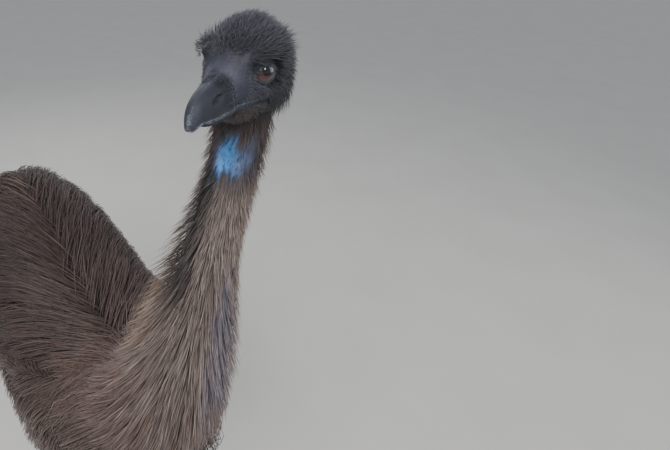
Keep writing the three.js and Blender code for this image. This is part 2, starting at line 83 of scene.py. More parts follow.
# Degrees: how far forward the eye faces, how far its pupil is lifted, and the edges of pupil and iris
EYE_LOOK, PUPIL_LIFT = 35, 18
PUPIL_EDGE, IRIS_EDGE = 25, 54
EYE_HALF_LENGTH, UPPER_LID, LOWER_LID = 0.0088, 0.0060, 0.0070
BROW_PLACE = (0.004, 0.0245, 0.017)
BROW_SIZE = (0.020, 0.0095, 0.0075)
EAR_PLACE = (-0.030, 0.0275, -0.013)
BILL_BASE = 0.036
BILL_LENGTH = 0.048
BILL_WIDTH = [0.0172, 0.016, 0.0146, 0.0126, 0.0096, 0.0052]
CULMEN = [0.007, 0.004, 0.0015, -0.0015, -0.007, -0.019]
UPPER_EDGE = [-0.0215, -0.022, -0.0223, -0.0225, -0.0226, -0.0228, -0.024, -0.031]
CHIN = [-0.031, -0.0314, -0.0312, -0.0304, -0.029, -0.027]
# The line of the mouth: place along the head, height
GAPE = [(0.038, -0.0225), (0.026, -0.0205), (0.010, -0.0185), (-0.004, -0.0175), (-0.013, -0.0185)]
# Each row of a lid: step outwards from the opening, height above the eyeball, share of the skull's surface
LID_ROWS = [(-0.0007, -0.0012, 0), (0.0, 0.0002, 0), (0.0003, 0.0009, 0), (0.0010, 0.0013, 0),
            (0.0019, 0.0009, 0.15), (0.0027, 0.0001, 0.4), (0.0035, 0.0006, 0.65),
            (0.0047, 0.0004, 0.9), (0.0062, 0.0, 1), (0.0080, -0.0022, 1)]

HOCK = (0.092, 0.088, 0.432)
KNEE = (0.104, -0.074, 0.668)
FOOT = (0.094, 0.010, 0.050)
DRUM_WIDTH = [0.070, 0.076, 0.066, 0.050, 0.038, 0.030, 0.027]
DRUM_DEPTH = [0.084, 0.096, 0.084, 0.062, 0.046, 0.035, 0.031]
SHANK_WIDTH = [0.028, 0.027, 0.020, 0.017, 0.0165, 0.0165, 0.017, 0.019, 0.023, 0.027]
SHANK_DEPTH = [0.033, 0.030, 0.022, 0.019, 0.018, 0.018, 0.0185, 0.020, 0.023, 0.026]
# Each toe: name, turn outwards, length, half width, height, joints, claw length
TOES = [
    ("inner", -29, 0.092, 0.014, 0.029, 3, 0.025),
    ("middle", 0, 0.132, 0.017, 0.033, 4, 0.030),
    ("outer", 31, 0.086, 0.014, 0.028, 4, 0.023),
]
WING_LINE = [(0.126, -0.300, 0.905), (0.178, -0.225, 0.880), (0.203, -0.130, 0.828),
             (0.208, -0.060, 0.778)]

# Spacing of the plates along a toe, and the size of the coat's parts
TOE_PLATE = 0.0085
NECK_TUFT_LENGTH = [0.125, 0.118, 0.100, 0.078, 0.060, 0.046, 0.034, 0.024, 0.017]
NECK_TUFT_WIDTH = [0.0010, 0.0009, 0.0008, 0.00060, 0.00042, 0.00030]
ROOT_DEPTH = 0.004
WING_REACH = 0.262
THIGH_LENGTH = 0.287
DOWNWARD = np.array([0, 0, -1.0])

# The photo's camera: turn and dip in degrees, focus and centre in pixels of a picture 670 wide
CAMERA_PLACE = (-0.1846, -0.7435, 1.5921)
CAMERA_TURN, CAMERA_DIP = 35, 38
FOCUS_PIXELS = 380
PICTURE_WIDTH = 670
CENTRE_ACROSS = 167.5

# Coat: how many tufts each part has at most, and how many rings of points run along each tuft.
# Thighs and wings have theirs on each side.
TUFTS = {
    "body": (17500, 7), "chest": (4200, 6), "rump": (3600, 7), "neck": (12500, 6),
    "head": (18600, 3), "bill": (1700, 3), "thigh": (1300, 5), "wing": (1300, 6),
}
FEATHER_FLATNESS = 0.45
DOWN_FLATNESS = 0.8
# A tuft's own patch on the unwrap, the most triangles of one coat piece, and the grain of the skin's mesh
BAKE_PATCH = 0.003
MOST_TRIANGLES = 195000
SKIN_GRAIN = 0.0044

# Each light: name, place, aim, size, power
LIGHTS = [
    ("catch light", (-0.111, -1.494, 2.163), (0.08, -0.5, 1.49), 0.10, 3),
    ("high key", (-1.9, -1.2, 3.6), (0, -0.2, 1.1), 2.2, 95),
    ("side fill", (2.6, -2.2, 2.2), (0, -0.2, 1.0), 2.0, 22),
    ("back rim", (0.6, 2.6, 2.8), (0, 0, 1.0), 1.6, 30),
]
FLOOR_REACH = 30.0


def hex_colour(text):
    """Linear colour from an sRGB hex text."""
    parts = [int(text[i:i + 2], 16) / 255 for i in (1, 3, 5)]
    return [c / 12.92 if c <= 0.04045 else ((c + 0.055) / 1.055) ** 2.4 for c in parts]


def along(values, share):
    """A smooth curve through values at even steps, read at shares of its length."""
    values = np.asarray(values, float)
    place = np.clip(share, 0, 1) * (len(values) - 1)
    i = np.minimum(np.floor(place).astype(int), len(values) - 2)
    f = place - i
    last = len(values) - 1
    a, b = values[np.clip(i - 1, 0, last)], values[i]
    c, d = values[i + 1], values[np.clip(i + 2, 0, last)]
    return b + 0.5 * f * (c - a + f * (2 * a - 5 * b + 4 * c - d + f * (3 * (b - c) + d - a)))


def step(low, high, value):
    """A soft rise from 0 at low to 1 at high."""
    t = np.clip((value - low) / (high - low), 0, 1)
    return t * t * (3 - 2 * t)


def mix(a, b, share):
    """From colour a to colour b, by a share for each place."""
    share = np.clip(share, 0, 1)[..., None]
    return a * (1 - share) + b * share


def unit(vectors):
    """Vectors with length 1."""
    return vectors / np.maximum(np.linalg.norm(vectors, axis=-1, keepdims=True), 1e-9)


def stack(x, y, z):
    """Points from their three places."""
    return np.stack(np.broadcast_arrays(x, y, z), axis=-1).astype(float)


def turns(around):
    """Even angles once round."""
    return np.linspace(0, 2 * np.pi, around, endpoint=False)


def grid(count, around):
    """Shares along a form and angles round it."""
    return np.broadcast_arrays(np.linspace(0, 1, count)[:, None], turns(around)[None, :])


# Forms of the bird: each turns shares, angles and lifts into points.
def rounded_end(share):
    """The share of its girth that the body keeps near its two ends."""
    part = np.minimum(share, 1 - share) / 0.16
    return np.sqrt(np.clip(1 - np.clip(1 - part, 0, 1) ** 2, 0, 1))


def body_point(share, angle, lift):
    """The body, with angle 0 along the spine."""
    shrink = rounded_end(share)
    up = np.cos(angle)
    height = np.where(up > 0, along(HEIGHT_ABOVE, share), along(DEPTH_BELOW, share))
    return stack(
        (along(HALF_WIDTH, share) + lift) * np.sin(angle) * shrink,
        BODY_FRONT - 0.85 * lift + share * (BODY_LENGTH + 1.7 * lift),
        along(MIDDLE_HEIGHT, share) + (height + lift) * up * shrink,
    )


class Line:
    """A smooth line through points, measured by its length."""

    def __init__(self, points):
        fine = np.linspace(0, 1, 400)
        self.spots = np.stack([along([p[k] for p in points], fine) for k in range(3)], -1)
        steps = np.linalg.norm(np.diff(self.spots, axis=0), axis=1)
        self.length = steps.sum()
        self.shares = np.concatenate([[0], np.cumsum(steps)]) / self.length
        self.tangents = unit(np.gradient(self.spots, self.shares, axis=0))

    def at(self, share):
        """The place at a share of the length."""
        return np.stack([np.interp(share, self.shares, self.spots[:, k]) for k in range(3)], -1)

    def tangent(self, share):
        """The way the line runs there."""
        return unit(np.stack(
            [np.interp(share, self.shares, self.tangents[:, k]) for k in range(3)], -1))


neck_line = Line(NECK_LINE)
wing_line = Line(WING_LINE)


def neck_point(share, angle, coat, lift):
    """The neck, with a share of the depth of its coat."""
    middle, tangent = neck_line.at(share), neck_line.tangent(share)
    left = unit(np.array([1.0, 0, 0]) - tangent * tangent[..., :1])
    front = np.cross(tangent, left)
    radius = along(NECK_RADIUS, share) + coat * along(NECK_COAT, share) + lift
    return (middle + left * (radius * np.sin(angle))[..., None]
            + front * (radius * np.cos(angle))[..., None])


def head_matrix():
    """The head's own axes: forward to the bill, left and up."""
    a, b, c = (math.radians(x) for x in (-90 - HEAD_TURN, HEAD_NOD, HEAD_ROLL))
    turn = np.array([[math.cos(a), -math.sin(a), 0], [math.sin(a), math.cos(a), 0], [0, 0, 1]])
    nod = np.array([[math.cos(b), 0, math.sin(b)], [0, 1, 0], [-math.sin(b), 0, math.cos(b)]])
    roll = np.array([[1, 0, 0], [0, math.cos(c), -math.sin(c)], [0, math.sin(c), math.cos(c)]])
    return turn @ nod @ roll


HEAD_AXES = head_matrix()


def from_head(points):
    """Points of the head's own frame, in the model's frame."""
    return np.asarray(points) @ HEAD_AXES.T + np.array(HEAD_PLACE)


def to_head(points):
    """Points of the model's frame, in the head's own frame."""
    return (np.asarray(points) - np.array(HEAD_PLACE)) @ HEAD_AXES


def skull_point(share, angle):
    """The skull, in the head's own frame."""
    shrink = np.sqrt(np.clip(1 - (1 - np.minimum(share / 0.3, 1)) ** 2, 0, 1))
    up = np.cos(angle)
    height = np.where(up > 0, along(SKULL_ABOVE, share), along(SKULL_BELOW, share))
    return stack(
        SKULL_BACK + share * SKULL_LENGTH,
        along(SKULL_WIDTH, share) * np.sin(angle) * shrink,
        along(SKULL_MIDDLE, share) + height * up * shrink,
    )


def limb_point(start, end, widths, depths, share, angle, lift, dome=0.0):
    """A straight limb. Angle 0 is at its back, and dome is the share that rounds its upper end."""
    start, end = np.array(start), np.array(end)
    line = end - start
    down = line / np.linalg.norm(line)
    left = unit(np.array([1.0, 0, 0]) - down * down[0])
    back = np.cross(left, down)
    part = np.minimum(1, share / dome) if dome else np.ones_like(share)
    spread = np.sqrt(np.clip(1 - (1 - part) ** 2, 0, 1))
    wide = (along(widths, share) + lift) * np.sin(angle) * spread
    deep = (along(depths, share) + lift) * np.cos(angle) * spread
    return start + line * share[..., None] + left * wide[..., None] + back * deep[..., None]


def thigh_point(share, angle, lift):
    """The drumstick, from knee to hock."""
    return limb_point(KNEE, HOCK, DRUM_WIDTH, DRUM_DEPTH, share, angle, lift, 0.3)


def shank_point(share, angle, lift):
    """The shank, from just below the hock to the foot."""
    top = np.array(HOCK) * 0.97 + np.array(FOOT) * 0.03
    return limb_point(top, FOOT, SHANK_WIDTH, SHANK_DEPTH, share, angle, lift)


def wing_point(share, angle, lift):
    """The small wing, a flat limb that lies along the flank."""
    out = unit(np.array([1, -0.2, 0.25]))
    middle, tangent = wing_line.at(share), wing_line.tangent(share)
    across = unit(np.cross(tangent, out))
    wide = (0.011 - 0.006 * share) * np.sqrt(np.clip(1 - (2 * share - 1) ** 6 * 0.9, 0, 1)) + lift
    thick = 0.007 - 0.004 * share + lift
    return (middle + across * (wide * np.sin(angle))[..., None]
            + out * (thick * np.cos(angle))[..., None])


def eye_axes(side):
    """The eye's middle, and the directions that its opening faces, runs forward and runs up."""
    look = math.radians(EYE_LOOK)
    axis = unit(np.array([math.sin(look), side * math.cos(look), 0.06]))
    up = unit(np.array([0, 0, 1.0]) - axis * axis[2])
    fore = side * np.cross(axis, up)
    return np.array([EYE_MIDDLE[0], side * EYE_MIDDLE[1], EYE_MIDDLE[2]]), axis, fore, up


def skull_side(x, z):
    """Half width of the skull at a place along and up it."""
    share = np.clip((x - SKULL_BACK) / SKULL_LENGTH, 0.001, 1)
    shrink = np.sqrt(1 - (1 - np.minimum(share / 0.3, 1)) ** 2)
    off = z - along(SKULL_MIDDLE, share)
    tall = np.where(off > 0, along(SKULL_ABOVE, share), along(SKULL_BELOW, share)) * shrink
    return along(SKULL_WIDTH, share) * shrink * np.sqrt(np.clip(1 - (off / tall) ** 2, 0, 1))


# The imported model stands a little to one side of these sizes. The eyes give the step.
def eyes_middle():
    """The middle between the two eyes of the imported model."""
    corners = [np.array(c) for side in ("left", "right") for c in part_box(f"eye_{side}")]
    return sum(corners) / 4


STEP = eyes_middle() - from_head([EYE_PLACE[0], 0, EYE_PLACE[2]])


def mesh_object(name, points, faces, material):
    """A smooth mesh piece from points and a list of arrays of faces, placed in the model's frame."""
    mesh = bpy.data.meshes.new(name)
    mesh.vertices.add(len(points))
    mesh.vertices.foreach_set("co", (np.asarray(points) + STEP).astype(np.float32).ravel())
    sizes = np.concatenate([np.full(len(f), f.shape[1], np.int32) for f in faces])
    corners = np.concatenate([f.ravel() for f in faces]).astype(np.int32)
    mesh.loops.add(len(corners))
    mesh.loops.foreach_set("vertex_index", corners)
    mesh.polygons.add(len(sizes))
    starts = np.concatenate([[0], np.cumsum(sizes)[:-1]]).astype(np.int32)
    mesh.polygons.foreach_set("loop_start", starts)
    mesh.polygons.foreach_set("use_smooth", np.full(len(sizes), True))
    mesh.update(calc_edges=True)
    mesh.validate()
    mesh.materials.append(material)
    piece = bpy.data.objects.new(name, mesh)
    bpy.context.scene.collection.objects.link(piece)
    return piece


def settle(piece, slot, *nodes):
    """Puts a piece on the body, in place of the named solids. The slot argument is not used."""
    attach(piece, LIVE)
    if nodes:
        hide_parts(*nodes)


def write_values(mesh, name, kind, values):
    """Stores one number or one colour for each point of a mesh."""
    layers, field = (mesh.attributes, "value") if kind == "FLOAT" else (mesh.color_attributes, "color")
    layer = layers.new(name, kind, "POINT")
    layer.data.foreach_set(field, np.asarray(values, np.float32).ravel())


def joined(parts):
    """One set of points and faces from several, four-sided faces first."""
    points, quads, tris, start = [], [], [], 0
    for spots, faces in parts:
        points.append(spots)
        for f in faces:
            (quads if f.shape[1] == 4 else tris).append(f + start)
        start += len(spots)
    return np.concatenate(points), [np.concatenate(quads)] + ([np.concatenate(tris)] if tris else [])


def loft(rings, closed_ends=True):
    """Points and faces of a closed form from rings of points, an array of ring by point by place."""
    count, around = rings.shape[:2]
    points = rings.reshape(-1, 3)
    i = np.arange(count - 1)[:, None] * around
    j = np.arange(around)[None, :]
    k = (j + 1) % around
    faces = [np.stack([i + j, i + k, i + around + k, i + around + j], -1).reshape(-1, 4)]
    if closed_ends:
        points = np.concatenate([points, np.stack([rings[0].mean(0), rings[-1].mean(0)])])
        first, last = len(points) - 2, len(points) - 1
        j, k = j.ravel(), k.ravel()
        base = (count - 1) * around
        faces.append(np.stack([np.full(around, first), k, j], -1))
        faces.append(np.stack([np.full(around, last), base + j, base + k], -1))
    return points, faces


def form(place, count, around, start=0.0, end=1.0, even=False):
    """A closed form from place, a function of share and angle. even sets the rings closer at the ends."""
    share, angle = grid(count, around)
    if even:
        share = (1 - np.cos(np.pi * share)) / 2
    return loft(place(start + (end - start) * share, angle))


def mirror(points):
    """The same points on the bird's other side."""
    return np.asarray(points) * np.array([-1, 1, 1])


def flipped(faces):
    """The same faces, turned to face the other way."""
    return [f[:, ::-1] for f in faces]


def sided(flip, points, faces):
    """A form as it stands on the left, or its mirror image for the right."""
    return (points, faces) if flip > 0 else (mirror(points), flipped(faces))


# Marking colours: the one rule for the base colours of skin and coat.
COLOURS = {name: np.array(hex_colour(value)) for name, value in {
    "body": "#45332f",
    "body_light": "#7c685f",
    "breast": "#735b53",
    "neck": "#81706a",
    "neck_light": "#b3a49c",
    "gold": "#8c7558",
    "stripe": "#1a1415",
    "head": "#272831",
    # The lighter blue-grey of the head is painted sheen, standing in for the shine on its down.
    "head_sheen": "#4b4e5b",
    "throat_blue": "#4f97dc",
    "lavender": "#7c7787",
}.items()}


def neck_place(points):
    """Share of the neck's length, bearing round it and reach from its middle.
    The bearing is 0 at the front and rises to the bird's left."""
    share = np.interp(points[..., 2], neck_line.spots[60:, 2], neck_line.shares[60:])
    off = points - neck_line.at(share)
    return share, np.degrees(np.arctan2(off[..., 0], -off[..., 1])), np.hypot(off[..., 0], off[..., 1])


def away(bearing, centre):
    """Degrees between two bearings."""
    return np.abs((bearing - centre + 180) % 360 - 180)


def throat_patch(points):
    """The bare sky-blue skin below the chin, ragged at its edges and strongest on the bird's right."""
    _, bearing, _ = neck_place(points)
    tall = points[..., 2] + 0.005 * np.sin(bearing * 0.13) + 0.004 * np.sin(bearing * 0.41 + 1)
    band = step(1.374, 1.390, tall) * (1 - step(1.414, 1.430, tall))
    strength = 0.45 + 0.55 * (1 - step(12, 46, away(bearing, -62)))
    return band * strength * (1 - step(34, 62, away(bearing, -50)))


def bare_front(points):
    """The thinly feathered, lavender-grey front of the lower neck."""
    _, bearing, _ = neck_place(points)
    tall = points[..., 2]
    band = step(1.04, 1.12, tall) * (1 - step(1.21, 1.30, tall))
    return band * (1 - step(12, 34, away(bearing, 2)))


def dark_stripe(points):
    """The blackish stripe down the right side of the upper neck."""
    _, bearing, _ = neck_place(points)
    tall = points[..., 2]
    band = step(1.20, 1.26, tall) * (1 - step(1.36, 1.42, tall))
    return (1 - step(16, 40, away(bearing, -98))) * band


def markings(points):
    """Base colour of skin and coat at points."""
    points = np.asarray(points)
    _, bearing, reach = neck_place(points)
    tall = points[..., 2]
    colour = np.broadcast_to(COLOURS["body"], points.shape)
    near = 1 - step(0.10, 0.19, reach)
    on_neck = near * step(0.92, 1.07, tall)
    flank = (1 - step(0.80, 1.00, tall)) * (1 - step(-0.28, 0.02, points[..., 1])) * step(0.55, 0.65, tall)
    pale = step(1.24, 1.30, tall) * (1 - step(1.36, 1.39, tall)) * (1 - step(30, 75, away(bearing, -30)))
    for name, share in (
        ("neck", 0.35 * (1 - step(0.55, 0.80, tall))),
        ("breast", 0.75 * flank),
        ("breast", near * step(0.86, 0.98, tall)),
        ("neck", near * step(1.02, 1.16, tall)),
        ("stripe", on_neck * dark_stripe(points)),
        ("neck_light", 0.45 * on_neck * pale),
        ("body", 0.75 * on_neck * step(1.365, 1.40, tall)),
        ("lavender", on_neck * bare_front(points)),
    ):
        colour = mix(colour, COLOURS[name], share)
    strong = 0.35 + 0.65 * (1 - step(0, 34, away(bearing, -66)))
    blue = mix(COLOURS["lavender"], COLOURS["throat_blue"], strong)
    colour = mix(colour, blue, near * np.clip(1.3 * throat_patch(points), 0, 1))
    own = to_head(points)
    on_head = step(-0.060, -0.030, own[..., 2]) * (1 - step(0.09, 0.12, np.linalg.norm(own, axis=-1)))
    return mix(colour, COLOURS["head"], on_head)


# Coat: each tuft is a thin three-sided spindle along its own path.
def tufts(name, paths, outward, width, colour, sheet, material, flatness):
    """paths: tuft by ring by place. sheet: each root's place on the unwrap of the skin."""
    count, rings = paths.shape[:2]
    tangent = unit(np.gradient(paths, axis=1))
    across = unit(np.cross(tangent, outward))
    raised = np.cross(across, tangent)
    t = np.linspace(0, 1, rings)
    taper = (0.60 + 0.8 * t) * (1 - t ** 2.0)
    size = (width[:, None] * taper[None, :] / taper.max())[..., None]
    corners = []
    for turn in (90, 210, 330):
        side, lift = math.cos(math.radians(turn)), math.sin(math.radians(turn)) * flatness
        corners.append(paths + across * side * size + raised * lift * size)
    ring = rings - 1
    body = np.stack(corners, 2)[:, :ring]
    points = np.concatenate([body.reshape(count, ring * 3, 3), paths[:, -1:]], 1)
    each = ring * 3 + 1
    pairs = ((0, 1), (1, 2), (2, 0))
    quads = [[r + c, r + d, r + 3 + d, r + 3 + c] for r in range(0, ring * 3 - 3, 3) for c, d in pairs]
    ends = [[ring * 3 - 3 + c, ring * 3 - 3 + d, each - 1] for c, d in pairs] + [[2, 1, 0]]
    base = (np.arange(count) * each)[:, None, None]
    faces = [(base + np.array(quads)).reshape(-1, 4), (base + np.array(ends)).reshape(-1, 3)]
    piece = mesh_object(name, points.reshape(-1, 3), faces, material)
    shade = np.ones((count, each, 4), np.float32)
    shade[..., :3] = colour[:, None, :]
    write_values(piece.data, "Plumage", "FLOAT_COLOR", shade)
    rise = np.concatenate([np.repeat(t[:ring], 3), [1.0]])
    write_values(piece.data, "Tip", "FLOAT", np.tile(rise, count))
    patch = np.stack([np.concatenate([np.tile([0.0, 0.5, 1.0], ring), [0.5]]), rise], -1) * BAKE_PATCH
    places = (sheet[:, None, :] + patch[None]).reshape(-1, 2)
    corner = np.concatenate([f.ravel() for f in faces])
    layer = piece.data.uv_layers.new(name="OFBake")
    layer.data.foreach_set("uv", places[corner].astype(np.float32).ravel())
    settle(piece, "coat")


def grow(name, paths, outward, width, colour, sheet, material, flatness=FEATHER_FLATNESS):
    """Makes the tufts of one part of the coat, in as many pieces as keep each below the limit."""
    each = 6 * (paths.shape[1] - 2) + 4
    pieces = math.ceil(len(paths) / int(MOST_TRIANGLES / each))
    for k in range(pieces):
        own = slice(k, None, pieces)
        tufts(f"{name}_{k + 1}", paths[own], outward[own], width[own], colour[own], sheet[own],
              material, flatness)


def unwrap(start, wide, share, angle, full_turn):
    """Places on the unwrap: a strip from start, wide across, with the way round the bird up it."""
    return np.stack([start + wide * share, 0.02 + 0.94 * (angle / full_turn + 0.5)], -1)


def rising(s):
    """From 0 to 1 along a tuft, fast at the root and flat at the tip."""
    return 1 - (1 - s) ** 2


def scatter(count):
    """Even, seeded places in a unit square."""
    i = np.arange(count) + 0.5
    start = draw.random(2)
    return np.stack([(start[0] + i * 0.7548776662) % 1, (start[1] + i * 0.5698402910) % 1], -1)


def gather(paths, keys, pull):
    """Draws each tuft towards the mean path of its lock, more and more towards the tip."""
    _, lock, count = np.unique(keys, return_inverse=True, return_counts=True)
    total = np.zeros((len(count), *paths.shape[1:]))
    np.add.at(total, lock, paths)
    mean = total / count[:, None, None]
    s = np.linspace(0, 1, paths.shape[1])[None, :, None]
    return paths + (mean[lock] - paths) * np.asarray(pull).reshape(-1, 1, 1) * s ** 1.3


def lock_keys(u, v, size_u, size_v):
    """A number for the lock that each root belongs to, in staggered rows."""
    row = np.floor(v / size_v + 0.25 * np.sin(u / size_u * 1.7)).astype(int)
    col = np.floor(u / size_u + 0.5 * (row % 2) + 0.25 * np.sin(v / size_v * 2.3)).astype(int)
    return (col + 500) * 4096 + row + 500


def lock_draw(keys, seed):
    """One draw from 0 to 1 for each lock, the same for all its tufts."""
    table = np.random.default_rng(seed).random(8191)
    return table[(keys * 131) % 8191]


def streaked(roots, share_light):
    """Each tuft's own colour: most near the marking at its root, some much lighter."""
    count = len(roots)
    pale = draw.random(count) < share_light
    amount = np.where(pale, 0.30 + 0.5 * draw.random(count), 0.20 * draw.random(count) ** 2)
    tone = 0.75 + 0.5 * draw.random(count)
    return mix(markings(roots), COLOURS["body_light"], amount) * tone[:, None]


def coat_point(y, angle, lift):
    """A place in the body's coat, which hangs straight down from the angle HANG on."""
    share = np.clip((y - BODY_FRONT) / BODY_LENGTH, 0.004, 0.996)
    over = np.maximum(0, np.abs(angle) - HANG)
    spot = body_point(share, angle - np.sign(angle) * over, lift)
    spot[..., 2] -= over * along(DEPTH_BELOW, share)
    return spot


def body_axis(paths):
    """The way out from the body's middle line at each point of the paths."""
    share = (paths[..., 1] - BODY_FRONT) / BODY_LENGTH
    return paths - stack(0 * share, paths[..., 1], along(MIDDLE_HEIGHT, share))


def outside_body(paths, lift):
    """Moves the parts of a tuft that would pass through the body out to lift above its skin."""
    share = (paths[..., 1] - BODY_FRONT) / BODY_LENGTH
    inside = np.clip(share, 0.02, 0.98)
    height = paths[..., 2] - along(MIDDLE_HEIGHT, inside)
    above = np.where(height > 0, along(HEIGHT_ABOVE, inside), along(DEPTH_BELOW, inside))
    shrink = rounded_end(inside)
    over = (lift[:, None] * np.linspace(0, 1, paths.shape[1])[None, :]) + SKIN_LIFT
    wide, tall = (along(HALF_WIDTH, inside) + over) * shrink, (above + over) * shrink
    reach = np.hypot(paths[..., 0] / wide, height / tall)
    swell = np.where(share > 0.0, np.maximum(1, 1 / np.maximum(reach, 0.35)), 1)
    moved = stack(paths[..., 0] * swell, paths[..., 1], paths[..., 2] - height + height * swell)
    root = np.clip(np.linspace(0, 1, paths.shape[1]) * 3, 0, 1)[None, :, None]
    return paths + (moved - paths) * root


def in_neck(spots):
    """True for roots of body tufts that would grow inside the neck."""
    _, _, reach = neck_place(spots)
    return (spots[:, 2] > 0.86) & (reach < 0.060) & (spots[:, 1] < -0.40)


def body_coat(count, rings, material):
    """Long feathers that part along the spine, lean back and fall over the sides."""
    places = scatter(int(count * 1.5))
    y = -0.44 + places[:, 0] * 0.775
    angle = (places[:, 1] * 2 - 1) * 2.6
    near_spine = draw.random(len(y)) < 0.11
    angle = np.where(near_spine, 0.10 * draw.standard_normal(len(y)), angle)
    share = (y - BODY_FRONT) / BODY_LENGTH
    girth = along(HALF_WIDTH, share)
    keep = draw.random(len(y)) < (girth / max(HALF_WIDTH)) * rounded_end(share) ** 0.5
    keep &= ~in_neck(body_point(share, angle, SKIN_LIFT))
    y, angle, girth, share, near_spine = (a[keep][:count] for a in (y, angle, girth, share, near_spine))
    n = len(y)
    side = np.where(near_spine, np.sign(draw.standard_normal(n)), np.sign(angle))
    turn = np.abs(angle)
    keys = lock_keys(y, turn * girth * 1.2, 0.022, 0.050) * 2 + (side > 0)
    lean, rise, tone = (lock_draw(keys, seed) for seed in (3, 5, 7))
    back = np.interp(turn, [0, 0.5, 1.3], [0.74, 0.52, 0.24]) + 0.16 * (lean - 0.5)
    back = np.where(near_spine, 0.80, back) + 0.06 * draw.standard_normal(n)
    spread = np.sqrt(np.clip(1 - back ** 2, 0.08, 1))
    length = (0.145 + 0.055 * draw.random(n)) * np.where(near_spine, 0.7, 1)
    top = SKIN_LIFT + (COAT_DEPTH - SKIN_LIFT) * (0.42 + 0.38 * draw.random(n) + 0.16 * rise)
    flank = np.exp(-((y + 0.24) / 0.14) ** 2) * step(0.6, 1.2, turn)
    top = top + 0.036 * flank * (0.4 + 0.6 * draw.random(n))
    s = np.linspace(0, 1, rings)[None, :]
    path_y = y[:, None] + (length * back)[:, None] * s
    path_angle = angle[:, None] + side[:, None] * (length * spread / (girth + 0.04))[:, None] * s
    root = SKIN_LIFT - ROOT_DEPTH
    paths = coat_point(path_y, path_angle, root + (top - root)[:, None] * rising(s))
    paths = gather(paths, keys, np.where(near_spine, 0.1, 0.42 + 0.25 * draw.random(n)))
    paths[..., 1] += 0.0026 * np.sin(s * 5 + 6 * draw.random(n)[:, None]) * s
    colour = streaked(paths[:, 0], 0.12) * (0.80 + 0.40 * tone)[:, None]
    width = 0.0008 + 0.0008 * draw.random(n)
    sheet = unwrap(0.02, 0.54, share, angle, 5.4)
    grow("body_coat", paths, body_axis(paths), width, colour, sheet, material)


def chest_coat(count, rings, material):
    """Feathers of the breast, which fall straight down over its round front."""
    places = scatter(int(count * 1.4))
    share = 0.004 + 0.26 * places[:, 0] ** 0.8
    angle = (places[:, 1] * 2 - 1) * 2.8
    root = body_point(share, angle, SKIN_LIFT - 0.003)
    keep = ~in_neck(root)
    share, angle, root = share[keep][:count], angle[keep][:count], root[keep][:count]
    n = len(share)
    middle = stack(0 * share, np.maximum(root[:, 1], -0.40), along(MIDDLE_HEIGHT, share))
    outward = unit(root - middle)
    slide = DOWNWARD - outward * (outward @ DOWNWARD)[:, None]
    slide += 0.4 * outward * np.array([1, 1, 0]) + 0.08 * draw.standard_normal((n, 3))
    length = (0.125 + 0.06 * draw.random(n))[:, None, None]
    lift = (0.020 + 0.020 * draw.random(n))[:, None, None]
    s = np.linspace(0, 1, rings)[None, :, None]
    bend = 0.6 * s ** 1.5
    paths = (root[:, None] + (unit(slide)[:, None] * (1 - bend) + DOWNWARD * bend) * length * s
             + outward[:, None] * lift * rising(s) * (1 - 0.3 * s))
    keys = lock_keys(angle * 0.13, root[:, 2], 0.024, 0.040)
    paths = gather(paths, keys, 0.45 + 0.2 * draw.random(n))
    colour = streaked(root, 0.20) * (0.76 + 0.48 * lock_draw(keys, 9))[:, None]
    width = 0.0009 + 0.0008 * draw.random(n)
    sheet = unwrap(0.02, 0.54, share, angle, 5.8)
    grow("chest_coat", paths, body_axis(paths), width, colour, sheet, material)


def neck_paths(share, angle, bare, lean, rings):
    """Paths of the neck's tufts: full on the sides, with a mane at the back right and a ruff at the base."""
    n = len(share)
    length = along(NECK_TUFT_LENGTH, share) * (0.70 + 0.55 * draw.random(n)) * (1 - 0.70 * bare)
    s = np.linspace(0, 1, rings)[None, :]
    full = (0.34 + 0.66 * draw.random(n)) * (1 - 0.65 * bare)
    rise = 0.30 + full[:, None] * (1 - (1 - s) ** 1.8)
    place = share[:, None] - length[:, None] / neck_line.length * s
    swing = angle[:, None] + (0.16 * lean[:, None] + 0.07 * draw.standard_normal(n)[:, None]) * s
    paths = neck_point(np.clip(place, 0.0, 1), swing, rise, -0.003)
    paths[..., 2] -= np.maximum(0, -place) * neck_line.length
    fluff = 0.0045 * step(0.70, 0.92, share) * (1 - 0.7 * bare)
    mane = 0.042 * np.exp(-(away(neck_place(paths[:, 0])[1], -120) / 50) ** 2)
    mane = mane * step(0.16, 0.28, share) * (1 - step(0.70, 0.92, share)) * draw.random(n) ** 0.7
    plump = 0.013 * step(0.18, 0.34, share) * (1 - step(0.55, 0.78, share))
    loose = (0.010 * draw.random(n) ** 3 * (1 - 0.8 * bare) + fluff + plump)[:, None] * s ** 1.5
    loose = loose + mane[:, None] * s ** 0.8
    middle = neck_line.at(np.clip(place, 0, 1))
    paths += loose[..., None] * unit(paths - middle)
    fall = (1 - step(0.18, 0.34, share))[:, None] * s ** 1.3 * 0.8
    drop = paths[:, :1] + DOWNWARD * (length[:, None] * s)[..., None]
    drop = drop + (paths - paths[:, :1]) * np.array([0.5, 0.5, 0])
    return outside_body(paths + (drop - paths) * fall[..., None], 0.020 + 0.030 * draw.random(n)), middle


